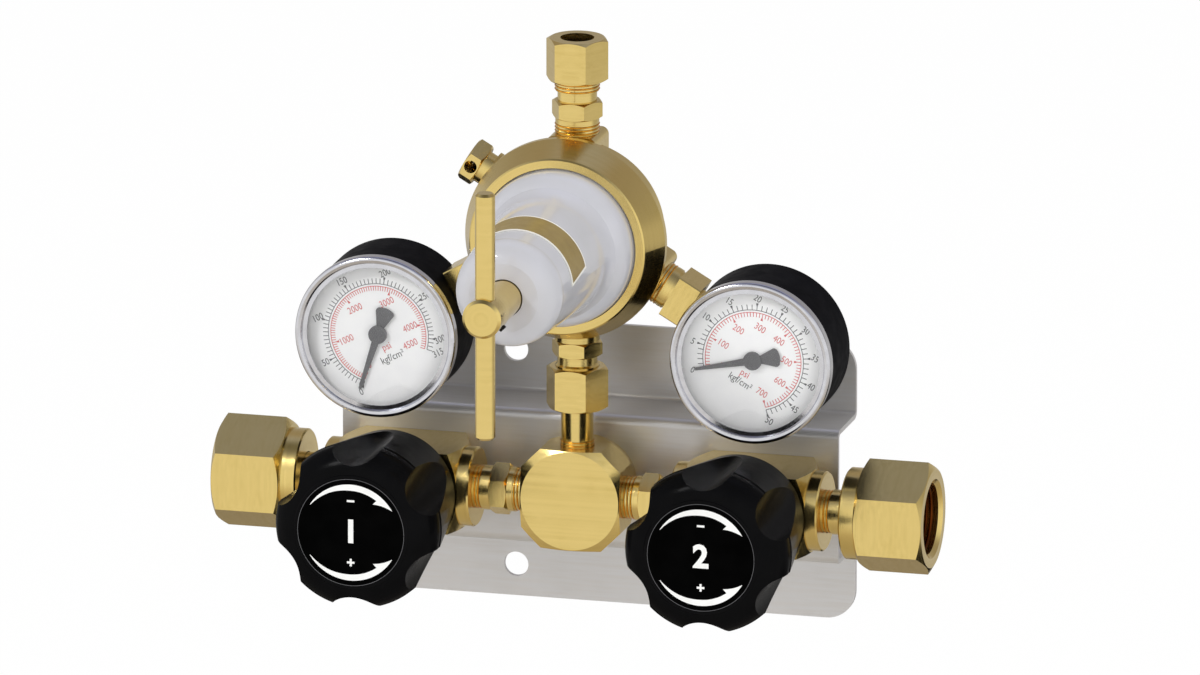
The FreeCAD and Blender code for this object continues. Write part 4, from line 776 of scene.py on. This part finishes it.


# Printed arrows and plain numbers on the two knobs' labels, and a thin grey ring on each label's edge as a
# painted highlight
knobLabel = {
    "centres": {"left": -71.6, "right": 71.6},
    "numbers": {"left": "1", "right": "2"},
    "inkThickness": 0.00004,
    # The upper arrow, with angles in degrees: its outer arc from tip to tail, its inner edge and its barb
    "outer": 19.7,
    "outerSteps": 40,
    "tip": 30.0,
    "tail": 148.6,
    "tailWidth": 0.2,
    "inner": [(52.5, 17.3), (75, 17.2), (96, 17.3), (115, 17.9), (134, 18.7)],
    "innerSteps": 8,
    "barb": [(41.8, 17.4), (53.3, 15.2)],
    "barbSteps": 6,
    "numberHeight": 9.5,
    "signHeight": 4.2,
    "signReach": 12.6,
    "bold": 0.045,
    # A thin grey ring at the label's edge: a painted highlight for the edge of the label disc
    "rim": 21.8,
    "edgeHighlightWidth": 0.22,
    "edgeHighlightTurn": 359.5,  # its ends don't meet, so that it stays one outline
}


def smoothRun(anchors, count):
    # Points on a smooth run through (angle, radius) anchors
    result = []
    for i in range(len(anchors) - 1):
        p0 = anchors[max(i - 1, 0)]
        p1, p2 = anchors[i], anchors[i + 1]
        p3 = anchors[min(i + 2, len(anchors) - 1)]
        for k in range(count):
            t = k / count
            result.append(tuple(
                0.5 * (2 * p1[j] + (p2[j] - p0[j]) * t + (2 * p0[j] - 5 * p1[j] + 4 * p2[j] - p3[j]) * t * t
                       + (3 * p1[j] - p0[j] - 3 * p2[j] + p3[j]) * t ** 3) for j in (0, 1)))
    return result + [anchors[-1]]


def arrowOutline(flip):
    tip, tail, radius = knobLabel["tip"], knobLabel["tail"], knobLabel["outer"]
    steps = knobLabel["outerSteps"]
    outer = [(tip + (tail - tip) * i / steps, radius) for i in range(steps + 1)]
    inner = smoothRun(knobLabel["inner"] + [(tail, radius - knobLabel["tailWidth"])], knobLabel["innerSteps"])
    barb = smoothRun(knobLabel["barb"][::-1] + [(tip, radius)], knobLabel["barbSteps"])
    points = [pointAt(angle, far) for angle, far in outer + inner[-2::-1] + barb[:-1]]
    return [(x, z * flip) for x, z in points]


for side, centre in knobLabel["centres"].items():
    origin = (centre * mm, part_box(f"{side}_knob_label")[0].y, 0)
    thick = knobLabel["inkThickness"]
    arrows = printed(f"{side}_knob_arrows", [arrowOutline(1), arrowOutline(-1)], thick, origin,
                     finishes["inkWhite"])
    words = [(knobLabel["numbers"][side], knobLabel["numberHeight"], (0, 0), 0, 1)]
    for sign, way in (("−", 1), ("+", -1)):
        words.append((sign, knobLabel["signHeight"], (0, knobLabel["signReach"] * way), 0, 1))
    number = lettering(f"{side}_knob_number", words, thick, origin, finishes["inkWhite"], knobLabel["bold"])
    # The grey ring is a painted highlight along the label disc's edge
    ring = arcOutline(knobLabel["rim"], knobLabel["edgeHighlightWidth"], 0, knobLabel["edgeHighlightTurn"])
    rim = printed(f"{side}_knob_painted_edge_highlight", [ring], thick, origin, finishes["pointerGrey"])
    for piece in (arrows, number, rim):
        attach(piece, f"{side}_handwheel")
print("stage: knob labels")


# Gauge dials: tick marks from one node tree, numbers as text
dials = {
    "left": {
        "zero": 254, "turn": 27, "units": {"inner": (0.7, -6.0), "outer": (1.1, -10.7)},
        "outer": {"last": 315, "minor": 5, "major": 50, "numbers": [0, 50, 100, 150, 200, 250, 300, 315]},
        "inner": {"last": 4500, "minor": 50, "major": 1000, "numbers": [0, 1000, 2000, 3000, 4000, 4500]},
    },
    "right": {
        "zero": 193, "turn": -30, "units": {"inner": (0, -6.7), "outer": (0, -10.5)},
        "outer": {"last": 50, "minor": 1, "major": 5, "numbers": list(range(0, 51, 5))},
        "inner": {"last": 700, "minor": 10, "major": 100, "numbers": list(range(0, 701, 100))},
    },
}
dialPrint = {
    "sweep": 268.0,
    "inkThickness": 0.00004,
    "tickWidth": 0.3,
    "arcWidth": 0.28,
    # A numbered mark ends in a wedge, which narrows to this share of its width
    "wedgeWidth": 0.95,
    "wedgeLength": 1.1,
    "wedgeShare": 0.5,
    "numberHeight": 2.9,
    "numberSqueeze": 0.8,
    "unitHeight": 3.0,
    "unitSqueeze": 0.86,
    # way: 1 where the ticks stand outside their arc, -1 where they stand inside it
    "outer": {
        "ink": "inkBlack", "unit": "kgf/cm²", "way": 1,
        "radius": 20.6, "tick": 2.2, "major": 2.9, "numbers": 25.4,
    },
    "inner": {
        "ink": "inkRed", "unit": "psi", "way": -1,
        "radius": 19.6, "tick": 1.8, "major": 2.9, "numbers": 13.6,
    },
}


def tickTree():
    tree = bpy.data.node_groups.new("dialTicks", "GeometryNodeTree")
    addSockets(tree, "Int", "Count")
    addSockets(tree, "Float", "Every", "Start", "Step", "Radius", "Way", "Tick", "Major", "Width", "Thick")
    addSockets(tree, "Vector", "Centre")
    addSockets(tree, "Material", "Material")
    addSockets(tree, "Geometry", "Geometry", way="OUTPUT")
    given = addNode(tree, "NodeGroupInput").outputs
    marks = addNode(tree, "GeometryNodePoints", {"Count": given["Count"]})
    index = addNode(tree, "GeometryNodeInputIndex").outputs[0]
    turned = calculate(tree, "MULTIPLY_ADD", index, given["Step"], given["Start"])
    rest = calculate(tree, "MODULO", index, given["Every"])
    major = calculate(tree, "LESS_THAN", rest, 0.01)
    length = addNode(tree, "ShaderNodeMix", {
        0: major, 2: given["Tick"], 3: given["Major"],
    }, data_type="FLOAT").outputs[0]
    outwards = calculate(tree, "MULTIPLY", length, given["Way"])
    reach = calculate(tree, "MULTIPLY_ADD", outwards, 0.5, given["Radius"])
    out = addNode(tree, "ShaderNodeCombineXYZ", {0: reach})
    angles = addNode(tree, "ShaderNodeCombineXYZ", {1: calculate(tree, "MULTIPLY", turned, -1.0)})
    spot = addNode(tree, "ShaderNodeVectorRotate", {
        "Vector": out.outputs[0], "Rotation": angles.outputs[0],
    }, rotation_type="EULER_XYZ")
    there = addNode(tree, "ShaderNodeVectorMath", {0: spot.outputs[0], 1: given["Centre"]}, operation="ADD")
    moved = addNode(tree, "GeometryNodeSetPosition", {
        "Geometry": marks.outputs[0], "Position": there.outputs[0],
    })
    size = addNode(tree, "ShaderNodeCombineXYZ", {0: length, 1: given["Thick"], 2: given["Width"]})
    unit = addNode(tree, "GeometryNodeMeshCube", {"Size": (1, 1, 1)})
    turn = addNode(tree, "FunctionNodeEulerToRotation", {0: angles.outputs[0]})
    placed = addNode(tree, "GeometryNodeInstanceOnPoints", {
        "Points": moved.outputs[0], "Instance": unit.outputs["Mesh"],
        "Rotation": turn.outputs[0], "Scale": size.outputs[0],
    })
    single = addNode(tree, "GeometryNodeRealizeInstances", {0: placed.outputs[0]})
    return finishTree(tree, single.outputs[0], given["Material"])


def wedgeOutline(angle, far, way):
    half = dialPrint["wedgeWidth"] / 2
    near = far - way * dialPrint["wedgeLength"]
    tip = half * dialPrint["wedgeShare"]
    cosine, sine = pointAt(angle, 1)
    corners = [(far, -half), (far, half), (near, tip), (near, -tip)]
    return [(r * cosine - t * sine, r * sine + t * cosine) for r, t in corners]


ticks = tickTree()
for side, dial in dials.items():
    low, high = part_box(f"{side}_gauge_dial")
    centre = (low + high) / 2
    origin = (centre.x, low.y, centre.z)
    thick = dialPrint["inkThickness"]
    zero, sweep, turn = dial["zero"], dialPrint["sweep"], dial["turn"]
    for scale in ("outer", "inner"):
        row, look = dial[scale], dialPrint[scale]
        ink, way = finishes[look["ink"]], look["way"]
        count = int(row["last"] / row["minor"]) + 1
        marks = grown(f"{side}_{scale}_marks", seedPoints("tick_seed", [(0, 0, 0)], {}), ticks, {
            "Count": count, "Every": row["major"] / row["minor"], "Start": math.radians(zero),
            "Step": -math.radians(sweep) / (count - 1), "Radius": look["radius"] * mm, "Way": float(way),
            "Tick": look["tick"] * mm, "Major": look["major"] * mm, "Width": dialPrint["tickWidth"] * mm,
            "Thick": thick, "Centre": (centre.x, low.y - thick / 2, centre.z), "Material": ink,
        })
        arc = printed("arc", [arcOutline(look["radius"], dialPrint["arcWidth"], zero, zero - sweep)],
                      thick, origin, ink)
        heads, words = [], []
        for value in row["numbers"]:
            angle = zero - sweep * value / row["last"]
            if value % row["major"] == 0:
                heads.append(wedgeOutline(angle, look["radius"] + way * look["major"], way))
            words.append((str(value), dialPrint["numberHeight"], pointAt(angle, look["numbers"]), turn,
                          dialPrint["numberSqueeze"]))
        wedges = printed("wedges", heads, thick, origin, ink)
        unitAt = Matrix.Rotation(math.radians(turn), 2) @ Vector(dial["units"][scale])
        words.append((look["unit"], dialPrint["unitHeight"], unitAt, turn, dialPrint["unitSqueeze"]))
        text = lettering("numbers", words, thick, origin, ink)
        parts = [marks, arc, wedges, text]
        whole = joined(f"{side}_{scale}_dial_print", [part.data for part in parts], ink)
        for part in parts:
            bpy.data.objects.remove(part)
        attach(whole, "manifold")
print("stage: dials")


# Studio: plain pale floor, soft light, camera at the photograph's angle
camera = {
    "azimuth": 15.0,
    "elevation": 15.2,
    "width": 0.4762,  # what the picture's width covers at the object
    "target": (0.0093, -0.0493, 0.0649),
    "lens": 900.0,  # the photograph is close to a parallel view
    "sensor": 36,
    "nearest": 0.1,
    "farthest": 60,
}
lamps = {
    # name: place, size, watts, whether shiny parts mirror it
    "key": ((-1.3, -1.7, 1.7), 0.5, 20.0, True),
    "fill": ((1.7, -1.5, 0.5), 1.1, 11.0, False),
    "back": ((0.3, 1.4, 1.8), 1.2, 12.0, False),
}
floorPlan = {
    "height": -0.35,
    "reach": 6.0,
    "tones": ("#F0F0EE", "#F4F4F2"),
    "cloudSize": 60,
    "roughness": 0.9,
    "whiteShare": 0.97,
}
room = {
    "ambient": 0.74,
    # What polished metal mirrors: height of the direction, then red, green and blue.
    # In front a white room under a dark ceiling, behind a grey room with a dark skirting.
    "front": [(-1.0, 0.5, 0.45, 0.38), (-0.66, 0.6, 0.54, 0.46), (-0.42, 0.82, 0.78, 0.72), (-0.2, 1, 1, 1),
              (0.3, 1, 1, 1), (0.5, 0.8, 0.82, 0.88), (0.72, 0.45, 0.47, 0.58), (0.9, 0.22, 0.23, 0.32),
              (0.95, 0.16, 0.16, 0.17), (1.0, 0.14, 0.14, 0.15)],
    "behind": [(-1.0, 0.48, 0.43, 0.36), (-0.68, 0.46, 0.42, 0.36), (-0.64, 0.12, 0.11, 0.1),
               (-0.59, 0.015, 0.015, 0.015), (-0.43, 0.015, 0.015, 0.015), (-0.38, 0.3, 0.29, 0.28),
               (-0.27, 0.56, 0.55, 0.54), (0.0, 0.56, 0.55, 0.54), (0.15, 0.42, 0.41, 0.41),
               (0.5, 0.36, 0.34, 0.36), (0.76, 0.36, 0.33, 0.35), (0.92, 0.42, 0.46, 0.74),
               (1.0, 0.38, 0.42, 0.68)],
    "turnFrom": -0.05,
    "turnTo": 0.45,
}


def wallColours(tree, height, rows):
    # A colour ramp over the height of the direction, which goes from -1 to 1
    share = addNode(tree, "ShaderNodeMapRange", {"Value": height, "From Min": -1.0, "From Max": 1.0})
    ramp = addNode(tree, "ShaderNodeValToRGB", {0: share.outputs[0]})
    stops = ramp.color_ramp.elements
    for place, (height, red, green, blue) in enumerate(rows):
        position = (height + 1) / 2
        if place == 0:
            stop = stops[0]
        elif place == len(rows) - 1:
            stop = stops[-1]
        else:
            stop = stops.new(position)
        stop.position = position
        stop.color = (red, green, blue, 1)
    return ramp.outputs[0]


def studioWorld():
    world = bpy.data.worlds.new("softStudio")
    bpy.context.scene.world = world
    world.use_nodes = True
    tree = world.node_tree
    tree.nodes.clear()
    direction = addNode(tree, "ShaderNodeTexCoord").outputs["Generated"]
    split = addNode(tree, "ShaderNodeSeparateXYZ", {0: direction})
    front = wallColours(tree, split.outputs[2], room["front"])
    behind = wallColours(tree, split.outputs[2], room["behind"])
    turn = addNode(tree, "ShaderNodeMapRange", {
        "Value": split.outputs[1], "From Min": room["turnFrom"], "From Max": room["turnTo"],
    }, interpolation_type="SMOOTHSTEP")
    both = addNode(tree, "ShaderNodeMix", {0: turn.outputs[0], 6: front, 7: behind}, data_type="RGBA")
    soft = addNode(tree, "ShaderNodeBackground", {"Color": (1, 1, 1, 1), "Strength": room["ambient"]})
    mirrored = addNode(tree, "ShaderNodeBackground", {"Color": both.outputs[2], "Strength": 1.0})
    white = addNode(tree, "ShaderNodeBackground", {"Color": (1, 1, 1, 1), "Strength": 1.0})
    glossy = addNode(tree, "ShaderNodeLightPath").outputs["Is Glossy Ray"]
    lit = mixShaders(tree, glossy, soft.outputs[0], mirrored.outputs[0])
    seen = eitherRay(tree, "Is Camera Ray", "Is Transmission Ray")
    last = mixShaders(tree, seen, lit, white.outputs[0])
    addNode(tree, "ShaderNodeOutputWorld", {"Surface": last})


def studioFloor():
    reach = floorPlan["reach"]
    corners = [(-reach, -reach), (reach, -reach), (reach, reach), (-reach, reach)]
    points = [(x, y, floorPlan["height"]) for x, y in corners]
    material, tree, shader, output = startMaterial(
        "matt_white_paper", IOR=1.5, Roughness=floorPlan["roughness"])
    colourSurface(tree, shader, pattern(tree, floorPlan["cloudSize"]), *floorPlan["tones"])
    seen = eitherRay(tree, "Is Camera Ray", "Is Transmission Ray")
    share = calculate(tree, "MULTIPLY", seen, floorPlan["whiteShare"])
    glow = addNode(tree, "ShaderNodeEmission", {"Color": (1, 1, 1, 1), "Strength": 1.0})
    tree.links.new(mixShaders(tree, share, shader.outputs[0], glow.outputs[0]), output.inputs["Surface"])
    floor = newMesh("studio_floor", points, [[0, 1, 2, 3]], material)
    floor.visible_glossy = False  # the mirrored room has its own floor


def studioLamps():
    target = Vector(camera["target"])
    for name, (at, size, watts, mirrored) in lamps.items():
        light = bpy.data.lights.new(name, "AREA")
        light.size = size
        light.energy = watts
        made = newObject(name, light)
        made.visible_glossy = mirrored
        made.location = at
        made.rotation_euler = (target - Vector(at)).to_track_quat("-Z", "Y").to_euler()


def studioCamera():
    a, e = math.radians(camera["azimuth"]), math.radians(camera["elevation"])
    back = Vector((math.sin(a) * math.cos(e), -math.cos(a) * math.cos(e), math.sin(e)))
    lens = bpy.data.cameras.new("camera")
    lens.lens = camera["lens"]
    lens.sensor_width = camera["sensor"]
    lens.clip_start = camera["nearest"]
    lens.clip_end = camera["farthest"]
    made = newObject("camera", lens)
    distance = camera["width"] * lens.lens / lens.sensor_width
    made.location = Vector(camera["target"]) + back * distance
    made.rotation_euler = (-back).to_track_quat("-Z", "Y").to_euler()
    bpy.context.scene.camera = made


studioWorld()
studioFloor()
studioLamps()
studioCamera()
bpy.context.scene.view_settings.view_transform = "Standard"
print("stage: studio")
